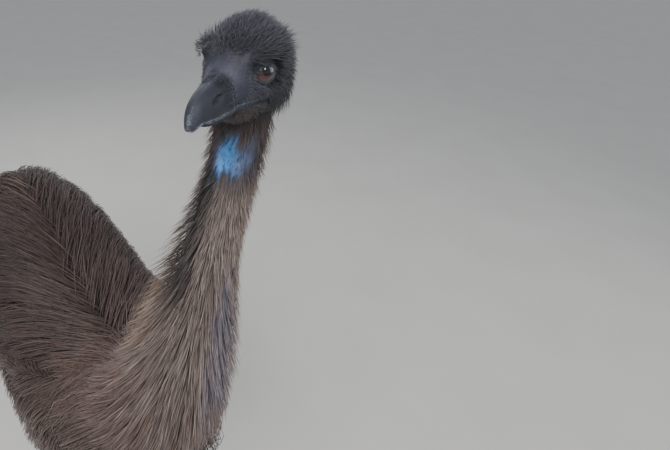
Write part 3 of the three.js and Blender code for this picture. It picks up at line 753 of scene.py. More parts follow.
def neck_coat(count, rings, material):
    """Hair-like feathers of the neck, long and pale at its base, short and dark below the head."""
    places = scatter(count)
    share = 0.10 + 0.90 * places[:, 0] ** 1.10
    angle = (places[:, 1] * 2 - 1) * np.pi
    roots = neck_point(share, angle, 0.34, -0.003)
    bare = throat_patch(roots)
    keep = draw.random(count) > 0.62 * bare + 0.30 * bare_front(roots)
    share, angle, bare = share[keep], angle[keep], bare[keep]
    n = len(share)
    keys = lock_keys(angle * 0.04, share * neck_line.length, 0.0085, 0.024)
    paths, middle = neck_paths(share, angle, bare, lock_draw(keys, 11) - 0.5, rings)
    paths = gather(paths, keys, 0.30 + 0.25 * draw.random(n))
    roots = paths[:, 0]
    tall = roots[:, 2]
    base = mix(markings(roots), COLOURS["head"], np.minimum(1, 1.4 * bare))
    fade = (1 - step(1.27, 1.36, tall)) * (0.35 + 0.65 * step(1.00, 1.16, tall))
    pick = draw.random(n) < 0.36 * fade * (1 - dark_stripe(roots))
    amount = np.where(pick, 0.30 + 0.55 * draw.random(n), 0.10 * draw.random(n))
    colour = mix(base, COLOURS["neck_light"], amount)
    gold = (away(neck_place(roots)[1], -145) < 34) & (draw.random(n) < 0.55) & (tall < 1.33) & (tall > 1.14)
    colour = mix(colour, COLOURS["gold"], 0.75 * gold)
    colour = colour * ((0.75 + 0.5 * draw.random(n)) * (0.85 + 0.3 * lock_draw(keys, 13)))[:, None]
    width = along(NECK_TUFT_WIDTH, share) * (0.75 + 0.5 * draw.random(n))
    sheet = unwrap(0.62, 0.16, share, angle, 6.4)
    grow("neck_coat", paths, paths - middle, width, colour, sheet, material)


def gape_height(x):
    """Height of the line of the mouth at a place along the head."""
    return np.interp(x, [g[0] for g in GAPE[::-1]], [g[1] for g in GAPE[::-1]])


def face_bareness(own):
    """How bare the face is: at the lids, along the mouth and close to the bill."""
    x, z = own[..., 0], own[..., 2]
    bare = 0.5 * step(0.030, 0.037, x)
    for side in (1, -1):
        middle, axis, _, _ = eye_axes(side)
        rel = own - middle
        off = np.linalg.norm(rel - (rel @ axis)[..., None] * axis, axis=-1)
        bare = np.maximum(bare, (1 - step(0.0098, 0.0118, off)) * (own[..., 1] * side > 0.01))
    mouth = (1 - step(0.0010, 0.0028, np.abs(z - gape_height(x)))) * step(-0.016, -0.010, x)
    return np.clip(np.maximum(bare, mouth), 0, 1)


def over_brow(own, outward):
    """Moves roots that lie inside a brow out to its surface."""
    side = np.sign(own[:, 1])
    middle = stack(BROW_PLACE[0], BROW_PLACE[1] * side, BROW_PLACE[2])
    near, way = (own - middle) / BROW_SIZE, outward / BROW_SIZE
    a, b, c = (way * way).sum(1), (near * way).sum(1), (near * near).sum(1) - 1
    out = (-b + np.sqrt(np.maximum(b * b - a * c, 0))) / a
    return own + outward * np.where(c < 0, out, 0)[:, None]


def head_coat(count, rings, material):
    """Fine dark down: velvet on the face, longer on crown, brows, cheeks and chin."""
    places = scatter(count)
    share = 0.02 + 0.98 * places[:, 0] ** 0.9
    angle = (places[:, 1] * 2 - 1) * np.pi
    own = skull_point(share, angle)
    keep = draw.random(count) > face_bareness(own)
    share, angle, own = share[keep], angle[keep], own[keep]
    n = len(share)
    x, y, z = own[:, 0], np.abs(own[:, 1]), own[:, 2]
    outward = unit(own - np.array([-0.012, 0, -0.004]))
    over_eye = step(0.018, 0.028, y) * step(0.006, 0.016, z) * (1 - step(0.010, 0.020, x))
    deep = (0.0026 + 0.0026 * over_eye) * draw.random(n) * (1 - step(0.014, 0.028, x))
    own = over_brow(own, outward) + outward * deep[:, None]
    face = step(-0.006, 0.024, x)
    nape = 1 - step(-0.050, -0.022, x)
    brow = over_eye * step(-0.026, -0.008, x)
    cheek = step(0.016, 0.026, y) * (1 - step(-0.030, -0.012, x)) * (1 - step(0.004, 0.020, z))
    front = step(0.022, 0.030, x)
    crown = step(0.010, 0.035, z)
    under = (1 - step(-0.020, 0.006, z)) * (1 - step(-0.015, 0.010, x))
    beard = (1 - step(-0.034, -0.026, z)) * (1 - step(0.020, 0.034, x))
    hang = np.maximum(under, beard)
    length = 0.0114 - 0.0078 * face - 0.003 * nape * step(0, 0.02, z) + 0.0050 * brow + 0.0060 * cheek
    length = (length + 0.0015 * front + 0.010 * hang) * (0.72 + 0.56 * draw.random(n))
    flow = stack(-0.9 + 1.9 * front + 0.5 * hang, 0 * z, 0.05 - 0.5 * (1 - crown) - 0.9 * hang)
    flow = unit(flow + 0.17 * draw.standard_normal((n, 3)))
    flow = unit(flow - outward * (flow * outward).sum(-1, keepdims=True))
    stand = (0.28 + 0.26 * draw.random(n) + 0.15 * crown + 0.20 * brow + 0.4 * cheek) * (1 - 0.3 * face)
    s = np.linspace(0, 1, rings)[None, :, None]
    paths = (own[:, None] - outward[:, None] * 0.0012
             + flow[:, None] * length[:, None, None] * s
             + outward[:, None] * (length * stand)[:, None, None] * (s - 0.30 * s ** 2))
    # Painted sheen: tufts drawn at random lean towards the lighter blue-grey that stands in for the down's
    # shine.
    colour = mix(COLOURS["head"], COLOURS["head_sheen"], draw.random(n) ** 1.5 * 0.8)
    chin = (1 - step(-0.030, -0.018, z)) * step(-0.050, -0.020, x)
    colour = mix(colour, COLOURS["neck"], chin * 0.6 * draw.random(n))
    bright = 1 + (2.2 - 2.0 * step(-0.002, 0.016, z)) * face * (1 - 0.7 * chin)
    # Painted light: away from the face, the crown's tufts are up to twice as bright, to offset the shade they
    # cast on each other.
    colour = colour * (bright * (1 + crown * (1 - face)))[:, None]
    width = (0.00029 - 0.00009 * face) * (0.8 + 0.5 * draw.random(n))
    grow_down("head_coat", paths, outward, width, colour, unwrap(0.80, 0.10, share, angle, 6.4), material)


def grow_down(name, paths, outward, width, colour, sheet, material):
    """Grows down whose paths and way out are given in the head's own frame."""
    paths = from_head(paths)
    outward = np.broadcast_to((outward @ HEAD_AXES.T)[:, None], paths.shape)
    grow(name, paths, outward, width, colour, sheet, material, DOWN_FLATNESS)


def bill_down(count, rings, material):
    """The last short down of the face, which runs out over the base of the bill."""
    places = scatter(count)
    share = 0.02 + 0.26 * places[:, 0] ** 1.6
    angle = (places[:, 1] * 2 - 1) * 1.62
    spots = bill_place(share, angle, along(CULMEN, share), along(UPPER_EDGE, share), 1.0)
    outward = unit(spots * np.array([0, 1, 1]) + np.array([0, 0, 0.010]))
    length = (0.0042 - 0.0075 * share) * (0.6 + 0.6 * draw.random(count))
    flow = unit(np.array([1, 0, -0.15]) + 0.25 * draw.standard_normal((count, 3)))
    s = np.linspace(0, 1, rings)[None, :, None]
    paths = (spots[:, None] - outward[:, None] * 0.0008 + flow[:, None] * length[:, None, None] * s
             + outward[:, None] * (0.0012 + 0.5 * length)[:, None, None] * (s - 0.45 * s ** 2))
    # Painted sheen, as on the head: tufts drawn at random lean towards the lighter blue-grey.
    colour = mix(COLOURS["head"], COLOURS["head_sheen"], draw.random(count)) * (2.3 - 3.0 * share)[:, None]
    width = 0.00020 * (0.8 + 0.5 * draw.random(count))
    grow_down("bill_down", paths, outward, width, colour, unwrap(0.905, 0.004, share, angle, 6.4), material)


def rump_coat(count, rings, material):
    """Drooping plumes that arch out over the rump and hide the tail."""
    places = scatter(count)
    y = 0.270 + 0.125 * places[:, 0] ** 0.8
    angle = (places[:, 1] * 2 - 1) * 2.1
    start = body_point((y - BODY_FRONT) / BODY_LENGTH, angle, 0.008)
    turn = np.abs(angle)
    size = 0.155 + 0.075 * np.cos(turn) + 0.05 * draw.random(count)
    keys = lock_keys(y, angle * 0.1, 0.026, 0.030)
    lean, tone = lock_draw(keys, 15) - 0.5, lock_draw(keys, 17)
    s = np.linspace(0, 1, rings)[None, :]
    pull = s ** 1.3
    push = (0.028 + 0.050 * np.clip(np.cos(turn), 0, 1)) * (0.6 + 0.7 * draw.random(count))
    outer = np.sign(angle) * np.sin(turn)
    paths = start[:, None] + np.stack([
        outer[:, None] * 0.036 * np.sin(1.6 * s) + 0.018 * lean[:, None] * pull,
        push[:, None] * np.sin(2.0 * s) + 0.014 * draw.standard_normal(count)[:, None] * pull,
        (np.cos(turn) * 0.050)[:, None] * np.sin(2.4 * s) - size[:, None] * s ** 1.5,
    ], -1)
    paths[..., 2] = np.maximum(paths[..., 2], 0.575 + 0.03 * draw.random(count)[:, None])
    paths = gather(paths, keys, 0.4 + 0.2 * draw.random(count))
    colour = streaked(start, 0.2) * (0.8 + 0.4 * tone)[:, None]
    width = 0.0011 + 0.0010 * draw.random(count)
    sheet = unwrap(0.58, 0.02, places[:, 0], angle, 5.4)
    grow("rump_coat", paths, body_axis(paths), width, colour, sheet, material)


def thigh_coat(count, rings, material):
    """Short feathers of the thighs, ever shorter down to the hock."""
    for (label, flip), strip in zip(SIDES, (0.91, 0.945)):
        places = scatter(count)
        share = 0.05 + 0.80 * places[:, 0]
        angle = (places[:, 1] * 2 - 1) * np.pi
        length = (0.085 - 0.055 * share) * (0.8 + 0.4 * draw.random(count))
        s = np.linspace(0, 1, rings)[None, :]
        reach = np.clip(share[:, None] + length[:, None] / THIGH_LENGTH * s, 0, 1.0)
        depth = (0.016 - 0.012 * share) * (0.4 + 0.9 * draw.random(count))
        lift = -0.002 + (depth + 0.002)[:, None] * rising(s)
        paths = thigh_point(reach, angle[:, None] + 0 * s, lift)
        out = paths - np.array(KNEE) - (np.array(HOCK) - np.array(KNEE)) * reach[..., None]
        if flip < 0:
            paths, out = mirror(paths), mirror(out)
        colour = streaked(paths[:, 0], 0.16)
        width = (0.0014 - 0.0006 * share) * (0.8 + 0.5 * draw.random(count))
        sheet = unwrap(strip, 0.025, share, angle, 6.4)
        grow(f"thigh_coat_{label}", paths, out, width, colour, sheet, material)


def wing_coat(count, rings, material):
    """Feathers of the small wings, which lie over the flank and point back and down."""
    for (label, flip), strip in zip(SIDES, (0.975, 0.985)):
        places = scatter(count)
        share = places[:, 0]
        angle = (places[:, 1] * 2 - 1) * np.pi
        start = wing_point(share, angle, 0.0)
        outward = unit(start - wing_line.at(share))
        length = (0.120 + 0.05 * draw.random(count))[:, None, None]
        s = np.linspace(0, 1, rings)[None, :, None]
        fall = np.array([-0.02, 0.60, -0.42]) + np.array([-0.04, 0, -0.45]) * s
        fan = 0.10 * draw.standard_normal((count, 1, 3)) * s
        paths = start[:, None] + (fall + fan) * length * s + outward[:, None] * 0.024 * np.sin(2.6 * s)
        paths[..., 0] = np.minimum(paths[..., 0], WING_REACH)
        keys = lock_keys(share * 0.28, angle * 0.012, 0.020, 0.020)
        paths = gather(paths, keys, 0.35 + 0.2 * draw.random(count))
        if flip < 0:
            paths = mirror(paths)
        colour = streaked(paths[:, 0], 0.18)
        width = 0.0010 + 0.0007 * draw.random(count)
        sheet = unwrap(strip, 0.008, share, angle, 6.4)
        grow(f"wing_coat_{label}", paths, body_axis(paths), width, colour, sheet, material)


# Materials. A scale counts cells to the metre, and the comment beside it gives the size in mm.
def new_material(name, **settings):
    """A material with the plain settings of its shader."""
    material = bpy.data.materials.new(name)
    material.use_nodes = True
    shader = material.node_tree.nodes["Principled BSDF"]
    for key, value in settings.items():
        shader.inputs[key.replace("_", " ")].default_value = value
    return material, material.node_tree, shader


def plug(tree, node, **links):
    """Joins sockets of a node to outputs of others. i6 means the socket with number 6."""
    for key, source in links.items():
        socket = int(key[1:]) if key[0] == "i" and key[1:].isdigit() else key.replace("_", " ")
        tree.links.new(source, node.inputs[socket])


def add_node(tree, kind, settings=None, stops=(), **links):
    """Adds a node. settings fills attributes and sockets, stops gives a ramp its places and colours,
    its two ends first, and links joins sockets to other nodes' outputs."""
    node = tree.nodes.new(kind)
    for key, value in (settings or {}).items():
        if isinstance(key, str) and hasattr(node, key):
            setattr(node, key, value)
        else:
            node.inputs[key].default_value = value
    for k, (place, colour) in enumerate(stops):
        stops_now = node.color_ramp.elements
        stop = stops_now[k] if k < 2 else stops_now.new(place)
        stop.position = place
        stop.color = (*(hex_colour(colour) if isinstance(colour, str) else colour), 1)
    plug(tree, node, **links)
    return node


def feather_barbs():
    """Emu feather: loose, hair-like barbs with no hooks. Matt and darkened by painted shade at the root, a
    soft shine along the curve.
    """
    material, tree, shader = new_material(
        "emu feather, loose barbs", Roughness=0.46, Specular_IOR_Level=0.42, Sheen_Weight=0.12,
        Sheen_Roughness=0.5)
    paint = add_node(tree, "ShaderNodeAttribute", {"attribute_name": "Plumage"})
    tip = add_node(tree, "ShaderNodeAttribute", {"attribute_name": "Tip"})
    # Painted shade: shares of the feather's own colour, darkest at the shaded root and full towards the open
    # tip
    ramp = add_node(tree, "ShaderNodeValToRGB", stops=[(0, (0.42, 0.40, 0.39)), (0.75, (1.0, 0.97, 0.93))],
                    Fac=tip.outputs["Fac"])
    tint = add_node(tree, "ShaderNodeMix", {"data_type": "RGBA", "blend_type": "MULTIPLY", 0: 1.0},
                    i6=paint.outputs["Color"], i7=ramp.outputs["Color"])
    plug(tree, shader, Base_Color=tint.outputs[2])
    return material


def emu_skin():
    """Bare bird skin: fine pebbled folds under the coat, blue and lavender where it shows."""
    material, tree, shader = new_material("emu skin, pebbled", Roughness=0.55, Specular_IOR_Level=0.35)
    # The markings hold painted shade where the coat covers the skin.
    paint = add_node(tree, "ShaderNodeAttribute", {"attribute_name": "MarkingsAndCoatShade"})
    where = add_node(tree, "ShaderNodeTexCoord").outputs["Object"]
    # Pebbles of 2.4 mm and blotches of 14 mm
    grain = add_node(tree, "ShaderNodeTexVoronoi", {"Scale": 420.0}, Vector=where)
    blotch = add_node(tree, "ShaderNodeTexNoise", {"Scale": 70.0, "Detail": 4.0}, Vector=where)
    limits = {"From Min": 0.3, "From Max": 0.7, "To Min": 0.62, "To Max": 1.25}
    shade = add_node(tree, "ShaderNodeMapRange", limits, Value=blotch.outputs["Fac"])
    tint = add_node(tree, "ShaderNodeVectorMath", {"operation": "SCALE"},
                    i0=paint.outputs["Color"], Scale=shade.outputs["Result"])
    bump = add_node(tree, "ShaderNodeBump", {"Strength": 0.5, "Distance": 0.0006},
                    Height=grain.outputs["Distance"])
    plug(tree, shader, Base_Color=tint.outputs[0], Normal=bump.outputs[0])
    return material


def bill_horn():
    """Bill sheath: satin near-black slate, paler and chalky with wear along its edges and tip, with a painted
    highlight along the ridge and painted shade that makes the nostrils black."""
    material, tree, shader = new_material("bill horn, worn slate", Specular_IOR_Level=0.5)
    where = add_node(tree, "ShaderNodeTexCoord").outputs["Object"]
    # Wear on the edges and tip, with a painted highlight on the ridge and painted shade in the nostrils.
    wear_and_painted_light = add_node(tree, "ShaderNodeAttribute", {"attribute_name": "WearAndPaintedLight"})
    # Flakes 3 mm long and 1.2 mm high, and clouds of 17 mm
    stretch = add_node(tree, "ShaderNodeMapping", {"Scale": (1.0, 1.0, 2.5)}, Vector=where)
    flake = add_node(tree, "ShaderNodeTexNoise", {"Scale": 330.0, "Detail": 6.0, "Roughness": 0.7},
                     Vector=stretch.outputs["Vector"]).outputs["Fac"]
    cloud = add_node(tree, "ShaderNodeTexNoise", {"Scale": 60.0, "Detail": 3.0}, Vector=where)
    limits = {"From Min": 0.3, "From Max": 0.75, "To Min": 0.1, "To Max": 2.2}
    spread = add_node(tree, "ShaderNodeMapRange", limits, Value=flake)
    shown = add_node(tree, "ShaderNodeMath", {"operation": "MULTIPLY"}, i0=wear_and_painted_light.outputs["Fac"],
                     i1=spread.outputs["Result"])
    faint = add_node(tree, "ShaderNodeMapRange", {"From Min": 0.4, "From Max": 0.9, "To Max": 0.35},
                     Value=cloud.outputs["Fac"])
    total = add_node(tree, "ShaderNodeMath", {"operation": "ADD"}, i0=shown.outputs[0],
                     i1=faint.outputs["Result"])
    ramp = add_node(tree, "ShaderNodeValToRGB", stops=[(0, "#20222b"), (0.9, "#8b8f99"), (0.35, "#30333f")],
                    Fac=total.outputs[0])
    rough = add_node(tree, "ShaderNodeMapRange", {"To Min": 0.52, "To Max": 0.74}, Value=flake)
    bump = add_node(tree, "ShaderNodeBump", {"Strength": 0.6, "Distance": 0.0004}, Height=flake)
    plug(tree, shader, Base_Color=ramp.outputs["Color"], Roughness=rough.outputs["Result"],
         Normal=bump.outputs[0])
    return material


def horn(name, dark, light, scale):
    """Dark claw horn or slate face skin: matt, with paler scuffs."""
    material, tree, shader = new_material(name, Roughness=0.5, Specular_IOR_Level=0.4)
    where = add_node(tree, "ShaderNodeTexCoord").outputs["Object"]
    wear = add_node(tree, "ShaderNodeTexNoise", {"Scale": scale, "Detail": 6.0, "Roughness": 0.65},
                    Vector=where)
    ramp = add_node(tree, "ShaderNodeValToRGB", stops=[(0.42, dark), (0.74, light)], Fac=wear.outputs["Fac"])
    bump = add_node(tree, "ShaderNodeBump", {"Strength": 0.5, "Distance": 0.0003}, Height=wear.outputs["Fac"])
    plug(tree, shader, Base_Color=ramp.outputs["Color"], Normal=bump.outputs[0])
    return material


def scute_keratin():
    """Leg scutes: dull grey-brown keratin in patches of dust, paler on the raised plates and darker towards
    the grooves between them.
    """
    material, tree, shader = new_material("leg scute keratin", Roughness=0.58, Specular_IOR_Level=0.4)
    where = add_node(tree, "ShaderNodeTexCoord").outputs["Object"]
    # Scales of 4.3 mm and patches of dust of 22 mm
    cells = add_node(tree, "ShaderNodeTexVoronoi", {"feature": "DISTANCE_TO_EDGE", "Scale": 230.0},
                     Vector=where)
    dust = add_node(tree, "ShaderNodeTexNoise", {"Scale": 45.0, "Detail": 5.0}, Vector=where)
    ramp = add_node(tree, "ShaderNodeValToRGB", stops=[(0.35, "#4c443d"), (0.72, "#857a6c")],
                    Fac=dust.outputs["Fac"])
    groove = add_node(tree, "ShaderNodeMapRange", {"From Max": 0.12, "To Min": 0.45, "To Max": 1.0},
                      Value=cells.outputs["Distance"])
    tint = add_node(tree, "ShaderNodeVectorMath", {"operation": "SCALE"},
                    i0=ramp.outputs["Color"], Scale=groove.outputs["Result"])
    bump = add_node(tree, "ShaderNodeBump", {"Strength": 0.6, "Distance": 0.0007},
                    Height=groove.outputs["Result"])
    plug(tree, shader, Base_Color=tint.outputs[0], Normal=bump.outputs[0])
    return material


def wet_eye(name, colour, rough):
    """Living eye: a clear wet cornea over the iris, so it keeps one sharp light."""
    material, tree, shader = new_material(name, Roughness=rough, Coat_Weight=1.0, Coat_Roughness=0.02,
                                          IOR=1.38)
    where = add_node(tree, "ShaderNodeTexCoord").outputs["Object"]
    # Fibres of 1.1 mm
    fibre = add_node(tree, "ShaderNodeTexNoise", {"Scale": 900.0, "Detail": 3.0}, Vector=where)
    dark = [0.55 * c for c in hex_colour(colour)]
    ramp = add_node(tree, "ShaderNodeValToRGB", stops=[(0.3, dark), (0.7, colour)], Fac=fibre.outputs["Fac"])
    plug(tree, shader, Base_Color=ramp.outputs["Color"])
    return material


# Pieces
def skin(material):
    """One closed skin over body, neck, head, brows, thighs and wings, painted by the markings, with painted
    shade where the coat covers it.
    """
    forms = [form(lambda t, a: body_point(t, a, SKIN_LIFT), 60, 64, even=True),
             form(lambda t, a: neck_point(t, a, 0.30, -0.001), 70, 36),
             form(lambda t, a: from_head(skull_point(t, a)), 40, 40)]
    for _, flip in SIDES:
        for place, count, around in ((thigh_point, 30, 28), (wing_point, 16, 14)):
            limb = form(lambda t, a, p=place: p(t, a, -0.001), count, around, 0.001, 1.0)
            forms.append(sided(flip, *limb))
        brow, faces = ball((BROW_PLACE[0], BROW_PLACE[1] * flip, BROW_PLACE[2]), BROW_SIZE, 20, 14)
        forms.append((from_head(brow), faces))
    piece = mesh_object("skin", *joined(forms), material)
    remesh = piece.modifiers.new("one skin", "REMESH")
    remesh.mode = "VOXEL"
    remesh.voxel_size = SKIN_GRAIN
    remesh.use_smooth_shade = True
    soften = piece.modifiers.new("soften", "SMOOTH")
    soften.iterations = 6
    soften.factor = 0.5
    apply_modifiers(piece)
    spots = np.empty(len(piece.data.vertices) * 3, np.float32)
    piece.data.vertices.foreach_get("co", spots)
    spots = sink_eyes(spots.reshape(-1, 3) - STEP)
    piece.data.vertices.foreach_set("co", (spots + STEP).astype(np.float32).ravel())
    piece.data.update()
    # The markings are stored with painted shade under the coat.
    write_values(piece.data, "MarkingsAndCoatShade", "FLOAT_COLOR", skin_shade(spots))
    settle(piece, "bare_skin", "head", "neck_upper", "neck_lower", "torso", "tail", "drumstick_left",
           "drumstick_right", "wing_left", "wing_right")


def skin_shade(spots):
    """The skin's colours: painted shade where the coat covers it, brighter on the face."""
    shade = np.ones((len(spots), 4), np.float32)
    shade[:, :3] = markings(spots)
    covered = 1 - np.maximum(throat_patch(spots), bare_front(spots))
    own = to_head(spots)
    on_face = step(-0.045, -0.035, own[:, 2]) * step(-0.03, 0.01, own[:, 0])
    bright = 1.0 + 1.1 * (1 - step(0.006, 0.020, own[:, 2]))
    # Painted shade: skin under the coat keeps 0.4 of its colour.
    shade[:, :3] *= ((1 - 0.6 * covered) * (1 - on_face) + bright * on_face)[:, None]
    return shade


def sink_eyes(spots):
    """Draws the skin in behind each eyeball, so that the lids close over a real hollow."""
    own = to_head(spots)
    for side in (1, -1):
        middle, axis, _, _ = eye_axes(side)
        rel = own - middle
        height = rel @ axis
        off = np.linalg.norm(rel - height[:, None] * axis, axis=-1)
        amount = (height > 0.003) * (1 - step(0.0095, 0.0150, off))
        own -= ((height - 0.003) * amount)[:, None] * axis
    return from_head(own)


def apply_modifiers(piece):
    """Turns a piece into the mesh that its modifiers make."""
    depsgraph = bpy.context.evaluated_depsgraph_get()
    made = bpy.data.meshes.new_from_object(piece.evaluated_get(depsgraph))
    old = piece.data
    piece.modifiers.clear()
    piece.data = made
    bpy.data.meshes.remove(old)


def ball(place, radii, around=24, high=16):
    """A closed ball or egg."""
    turn = np.linspace(0, np.pi, high)[1:-1][:, None]
    angle = turns(around)[None, :]
    ring = stack(np.sin(turn) * np.cos(angle), np.sin(turn) * np.sin(angle), np.cos(turn) + 0 * angle)
    points, faces = loft(ring)
    points[-2], points[-1] = (0, 0, 1), (0, 0, -1)
    return points * np.array(radii) + np.array(place), flipped(faces)


def eye(side, label, iris, pupil):
    """Eyeball with iris and pupil as rings of faces about the way it looks."""
    turn = np.concatenate([np.linspace(0, 0.9, 22)[1:], np.linspace(0.95, np.pi, 16)[:-1]])[:, None]
    angle = turns(40)[None, :]
    middle, axis, fore, up = eye_axes(side)
    lift = math.radians(PUPIL_LIFT)
    axis, up = axis * math.cos(lift) + up * math.sin(lift), up * math.cos(lift) - axis * math.sin(lift)
    ring = (np.cos(turn)[..., None] * axis + (np.sin(turn) * np.cos(angle))[..., None] * fore * side
            + (np.sin(turn) * np.sin(angle))[..., None] * up)
    points, faces = loft(ring)
    points[-2], points[-1] = axis, -axis
    piece = mesh_object(f"eyeball_{label}", from_head(points * EYE_BALL + middle), flipped(faces), iris)
    piece.data.materials.append(pupil)
    place, look = from_head(middle), axis @ HEAD_AXES.T
    for face in piece.data.polygons:
        spot = unit(np.array(face.center) - STEP - place)
        off = math.degrees(math.acos(np.clip(spot @ look, -1, 1)))
        face.material_index = 1 if off < PUPIL_EDGE or off > IRIS_EDGE else 0
    settle(piece, "eye", f"eye_{label}")


def lids(side, label, material):
    """Lids that close on the eye in an almond: a round rim, a crease, a fold and the way out to the face."""
    middle, axis, fore, up = eye_axes(side)
    turn = turns(72)
    tall = np.where(np.sin(turn) > 0, UPPER_LID, LOWER_LID)
    edge = 1 / np.sqrt((np.cos(turn) / EYE_HALF_LENGTH) ** 2 + (np.sin(turn) / tall) ** 2)
    edge = edge + 0.0009 * np.abs(np.cos(turn)) ** 14
    rows = []
    for out, lift, share in LID_ROWS:
        flat = (edge + out)[:, None] * (np.cos(turn)[:, None] * fore + np.sin(turn)[:, None] * up) + middle
        room = EYE_BALL ** 2 - (edge + out) ** 2
        skull_height = np.full(len(turn), 0.008)
        for _ in range(8):
            spot = flat + skull_height[:, None] * axis
            skull_height += (skull_side(spot[:, 0], spot[:, 2]) - side * spot[:, 1]) / abs(axis[1]) * 0.8
        height = np.sqrt(np.maximum(room, (0.4 * EYE_BALL) ** 2)) * (1 - share) + skull_height * share + lift
        if out >= 0:
            height = np.maximum(height, np.sqrt(np.maximum(room, 0)) + 0.0005)
        rows.append(flat + height[:, None] * axis)
    points, faces = loft(np.array(rows), closed_ends=False)
    if side < 0:
        faces = flipped(faces)
    settle(mesh_object(f"lids_{label}", from_head(points), faces, material), "bare_skin")


def tube(path, radii, around=10):
    """A closed tube along a path with its own radius at each point."""
    path, radii = np.asarray(path), np.asarray(radii)
    tangent = unit(np.gradient(path, axis=0))
    guide = np.where(np.abs(tangent[:, 2:3]) > 0.9, [[1.0, 0, 0]], [[0, 0, 1.0]])
    across = unit(np.cross(tangent, guide))
    raised = np.cross(across, tangent)
    angle = turns(around)
    wide = np.cos(angle)[None, :, None] * radii[:, None, None]
    tall = np.sin(angle)[None, :, None] * radii[:, None, None]
    return loft(path[:, None] + across[:, None] * wide + raised[:, None] * tall)


def ear(side, label, material):
    """The ear: a low rim round a shallow cup in the down."""
    x, y, z = EAR_PLACE
    turn = np.linspace(0, 2 * np.pi, 25)
    rim = stack(x + 0.0055 * np.cos(turn), side * (y + 0.0062), z + 0.0050 * np.sin(turn))
    cup, faces = ball((x, side * (y + 0.001), z), (0.0052, 0.004, 0.0048))
    both = joined([tube(from_head(rim), np.full(25, 0.0014)), (from_head(cup), faces)])
    settle(mesh_object(f"ear_cup_{label}", *both, material), "bare_skin", f"ear_{label}")


def bill_place(share, angle, top, bottom, width):
    """Half a bill: a dome over the cutting edge and a nearly flat face on its other side."""
    x = BILL_BASE - 0.0015 + share * (BILL_LENGTH + 0.0015)
    up = np.cos(angle)
    boxy = 0.92 - 0.20 * np.clip(share / 0.35, 0, 1)
    side = np.sign(np.sin(angle)) * np.abs(np.sin(angle)) ** np.where(up > 0, boxy, 1.0)
    wide = along(BILL_WIDTH, share) * width
    flat = bottom + (bottom - top) * 0.03 * up
    tall = bottom + (top - bottom) * np.abs(up) ** 0.85
    return stack(x, wide * side, np.where(up > 0, tall, flat))


def close_end(spots, share, start, power):
    """Draws the rings in to a round end from the share start on."""
    end = np.clip((share - start) / (1 - start), 0, 1)
    close = np.sqrt(np.clip(1 - end ** power, 0, 1))
    middle = spots.mean(1, keepdims=True)
    return middle + (spots - middle) * close[..., None]


def nostril_depth(spots):
    """How deep a point lies in either nostril, a long oval in a groove beside the ridge."""
    off = np.hypot((spots[..., 0] - 0.056) / 0.0075,
                   (spots[..., 2] + 0.0075 - 0.25 * (0.056 - spots[..., 0])) / 0.0027)
    return np.clip(1 - off, 0, 1) ** 0.6 * (np.abs(spots[..., 1]) > 0.006)


def upper_bill(material):
    """The upper bill: a ridge between two grooves with the nostrils, over a cutting edge pale with wear; a
    painted highlight lies along the ridge and painted shade blackens the nostrils.
    """
    share, angle = grid(96, 96)
    spots = bill_place(share, angle, along(CULMEN, share), along(UPPER_EDGE, share), 1.0)
    deep = nostril_depth(spots)
    side = np.sign(spots[..., 1])
    groove = np.exp(-((np.abs(spots[..., 1]) - 0.0068) / 0.0018) ** 2) * (np.cos(angle) > 0.1)
    spots[..., 2] -= 0.0011 * groove * np.clip(1 - share * 1.3, 0, 1)
    edge = np.exp(-((spots[..., 2] - along(UPPER_EDGE, share)) / 0.0016) ** 2) * (np.cos(angle) > -0.05)
    spots[..., 1] += side * 0.0005 * edge * (1 - share) - side * 0.0045 * deep
    spots = close_end(spots, share, 0.86, 2.2)
    # Pale wear on the cutting edge and tip, a painted highlight along the ridge, and painted shade that
    # blackens the nostrils.
    ridge = np.exp(-(spots[..., 1] / 0.0022) ** 2) * (np.cos(angle) > 0)
    tip = step(0.80, 1.0, share)
    wear_and_painted_light = np.clip(0.95 * edge + 0.30 * ridge + 0.35 * tip, 0, 1) * (1 - 0.2 * share)
    bill_piece("bill_upper_sheath", spots, np.clip(wear_and_painted_light - (deep > 0.15), -1, 1), material, "bill_upper")


def lower_bill(material):
    """The lower bill, a shallow trough that closes under the upper one."""
    share, angle = grid(56, 64)
    reach = share * 0.80
    top = along(UPPER_EDGE, reach) - 0.0007
    spots = bill_place(reach, angle + np.pi, along(CHIN, share) - 0.0012 * (1 - share), top, 0.985)
    spots = close_end(spots, share, 0.80, 2.2)
    wear_and_painted_light = 0.6 * np.exp(-((spots[..., 2] - top) / 0.0014) ** 2)
    bill_piece("bill_lower_sheath", spots, wear_and_painted_light, material, "bill_lower")


def bill_piece(name, spots, wear_and_painted_light, material, node):
    """Half a bill as a piece, with its wear, painted ridge highlight and painted nostril shade stored for the
    horn.
    """
    piece = mesh_object(name, *loft(from_head(spots)), material)
    write_values(piece.data, "WearAndPaintedLight", "FLOAT", np.concatenate([wear_and_painted_light.ravel(), [0, 0.4]]))
    settle(piece, "horn", node)


def lips(material):
    """The two rims of the gape, from the bill back to below the eye."""
    for label, side in SIDES:
        for row, height in (("upper", 0.0011), ("lower", -0.0012)):
            x = np.linspace(0.039, -0.013, 30)
            z = gape_height(x) + height * np.clip((x + 0.016) / 0.012, 0, 1)
            y = skull_side(np.minimum(x, 0.035), z) + 0.0001
            fat = 0.0012 + 0.0009 * step(0.014, 0.034, x)
            fat = fat * np.sqrt(np.clip(1 - np.linspace(-1, 1, 30) ** 6, 0.04, 1))
            rim = tube(from_head(stack(x, side * y, z)), fat)
            settle(mesh_object(f"lip_{row}_{label}", *rim, material), "bare_skin")


